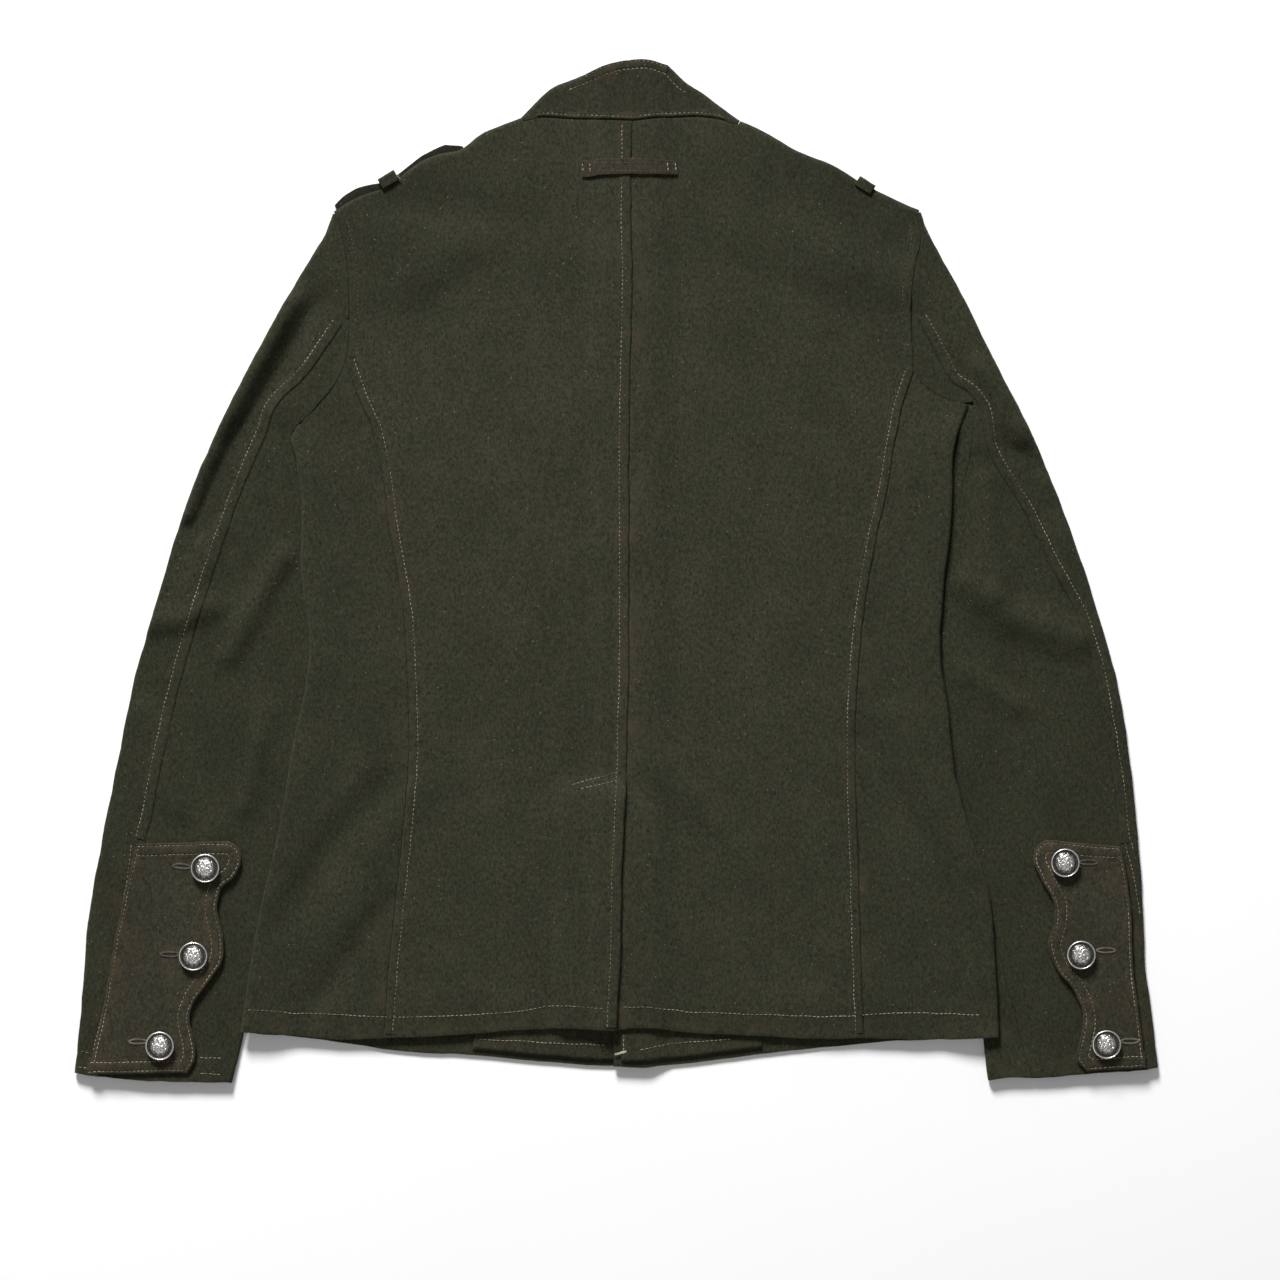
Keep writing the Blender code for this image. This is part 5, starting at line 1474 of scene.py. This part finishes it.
def sew_tab(key, lift):
    """The raised border, stitching, buttonholes and buttons of a cuff tab."""
    base = top_of(lambda x, y: sleeve_z(x, y, 0.0) + lift, TAB_WALL)
    side, sign = OUTWARDS[key]
    inner, outer = fine_line(side["tab_in"]), fine_line(side["tab_out"])
    head, foot = (stations(np.vstack([inner[[k]], outer[[k]]]), (50,)) for k in (0, -1))
    from_inner, from_outer = (-sign, 0), (sign, 0)
    near, far = rows = TAB_EDGE_ROWS
    strips = [ridge(outer, from_outer, rows, 0.45, base), ridge(head, (0, -1), rows, 0.4, base),
              ridge(foot, (0, 1), rows, 0.4, base), ridge(inner, from_inner, (near,), 0.4, base)]
    owner = "cuff_tab_" + key
    raised(owner + "_border", strips, "cuff", owner, 0.85)
    edge = np.vstack([head[:-1], outer[:-1], foot[::-1]])
    middle = (inner.mean(axis=0) + outer.mean(axis=0)) / 2
    rows = [inset(edge, near, middle), inset(edge, far, middle), offset(inner, from_inner, near)[2:-2]]
    sew(owner + "_stitches", rows, 13, base, owner)
    holes = BUTTONHOLES[key]
    worked = np.vstack([buttonhole(c, n) for n, c in enumerate(holes)])
    loose(owner + "_buttonholes", threads(worked, base, 0.36, 0.14), "buttonhole", owner)
    for number, centre in enumerate(holes, 1):
        loose("%s_slit_%d" % (owner, number), slit(centre, base), "dark", owner)
    for number, centre in enumerate(side["buttons"], 1):
        place = float(base(*np.array(centre, float)[:, None])[0]) + LAYER_GAP
        button("button_%s_%d" % (key, number), centre, place)


def sew_hanger():
    def base(x, _):
        return hanger_level(x) + HANGER_WALL / 2

    sew("hanger_stitches", fine_photo("hanger_sides"), 15, base, "hanger_loop", "dull_thread", 0.22)
    sew("hanger_end_stitches", fine_photo("hanger_ends"), 16, base, "hanger_loop", "white_thread", 0.28)


def soft_light(name, place, power):
    """A round soft light that faces the middle of the floor."""
    data = bpy.data.lights.new(name, "AREA")
    data.shape = "DISK"
    data.size = 1.6
    data.energy = power
    obj = linked(name, data)
    obj.location = place
    obj.rotation_euler = (-Vector(place)).to_track_quat("-Z", "Y").to_euler()


def studio():
    """A pale floor, soft light from beyond the collar, and the photograph's view straight down."""
    mesh = bpy.data.meshes.new("floor")
    bm = bmesh.new()
    bmesh.ops.create_grid(bm, x_segments=4, y_segments=4, size=2.4)
    bm.to_mesh(mesh)
    bm.free()
    floor = linked("floor", mesh)
    mat, tree, shader, place = node_tree("pale_floor")
    tone = grain(tree, place, (3, 3, 3), 2.0)
    tree.links.new(blend_colour(tree, tone, (0.90, 0.90, 0.90), (0.93, 0.93, 0.93)),
                   shader.inputs["Base Color"])
    shader.inputs["Roughness"].default_value = 0.9
    shader.inputs["Specular IOR Level"].default_value = 0.1
    mesh.materials.append(mat)
    soft_light("window", (-1.15, 4.4, 2.7), 525.0)
    soft_light("overhead", (-0.6, -1.2, 3.0), 12.0)
    world = bpy.data.worlds.new("pale_room")
    world.use_nodes = True
    sky = next(n for n in world.node_tree.nodes if n.type == "BACKGROUND")
    sky.inputs["Color"].default_value = (1.0, 1.0, 1.0, 1.0)
    sky.inputs["Strength"].default_value = 0.20
    bpy.context.scene.world = world
    data = bpy.data.cameras.new("camera")
    data.lens = 100.0
    data.sensor_width = 36.0
    camera = linked("camera", data)
    distance = VIEW_WIDTH * data.lens / data.sensor_width
    camera.location = (VIEW_X, VIEW_Y + ORIGIN[1] * MM, VIEW_Z + distance)
    bpy.context.scene.camera = camera


def finishes():
    # painted shade: the body's wool darkens towards the upper outer shoulders
    FINISH["body"] = wool("wool_body", (0.0262, 0.0268, 0.0158), painted_shoulder_shade=0.30)
    FINISH["side"] = wool("wool_side", (0.0240, 0.0246, 0.0145))
    FINISH["sleeve_left"] = wool("wool_sleeve_left", (0.0222, 0.0228, 0.0132), turn=-0.28)
    FINISH["sleeve_right"] = wool("wool_sleeve_right", (0.0222, 0.0228, 0.0132), turn=0.28)
    # the collar's own colour, darkened by about a tenth as painted shade like the shoulders; the strap
    # loops share it
    FINISH["collar"] = wool("wool_collar_with_painted_shade", (0.0204, 0.0207, 0.0125), worn=0.5)
    FINISH["cuff"] = wool("wool_cuff", (0.0296, 0.0280, 0.0176), worn=0.7)
    FINISH["trim"] = wool("wool_trim_cloth", (0.0262, 0.0236, 0.0160), worn=0.7)
    # painted shade: the straps' wool is about half as bright as the body's, for the shadow under the
    # shoulders
    FINISH["strap"] = wool("wool_strap_with_painted_shade", (0.0130, 0.0122, 0.0080), worn=0.4)
    FINISH["thread"] = thread("sewing_thread", (0.36, 0.31, 0.23))
    FINISH["white_thread"] = thread("white_thread", (0.62, 0.58, 0.50))
    FINISH["dull_thread"] = thread("dull_thread", (0.085, 0.078, 0.055))
    FINISH["buttonhole"] = thread("buttonhole_thread", (0.12, 0.105, 0.075))
    # painted shade: the near-black sheets in the buttonholes' openings
    FINISH["dark"] = thread("slit_shade", (0.006, 0.005, 0.004))
    FINISH["metal"] = button_metal("silver_metal")


def main():
    finishes()
    halves = {key: seams(key) for key in OUTWARDS}
    for side, _ in OUTWARDS.values():
        WEAR_LINES.extend(line(side[name]) for name in ("princess", "hem", "side_hem", "cuff", "tab_in"))
    WEAR_LINES.extend([line(CENTRE_BACK), line(COLLAR_TOP)])
    for key, s in halves.items():
        body_panels(key, s)
        front_panels(key, s)
        sleeve_panels(key, s)
        lift = tab(key, s)
        strap(key, s)
        strap_loop(key, s)
        sew_tab(key, lift)
    collar_band(halves)
    hanger()
    sew_body()
    sew_collar(halves)
    sew_sleeves()
    sew_hanger()
    sew_fronts()
    sew_white()
    studio()


main()
bpy.context.scene.view_settings.view_transform = "Standard"
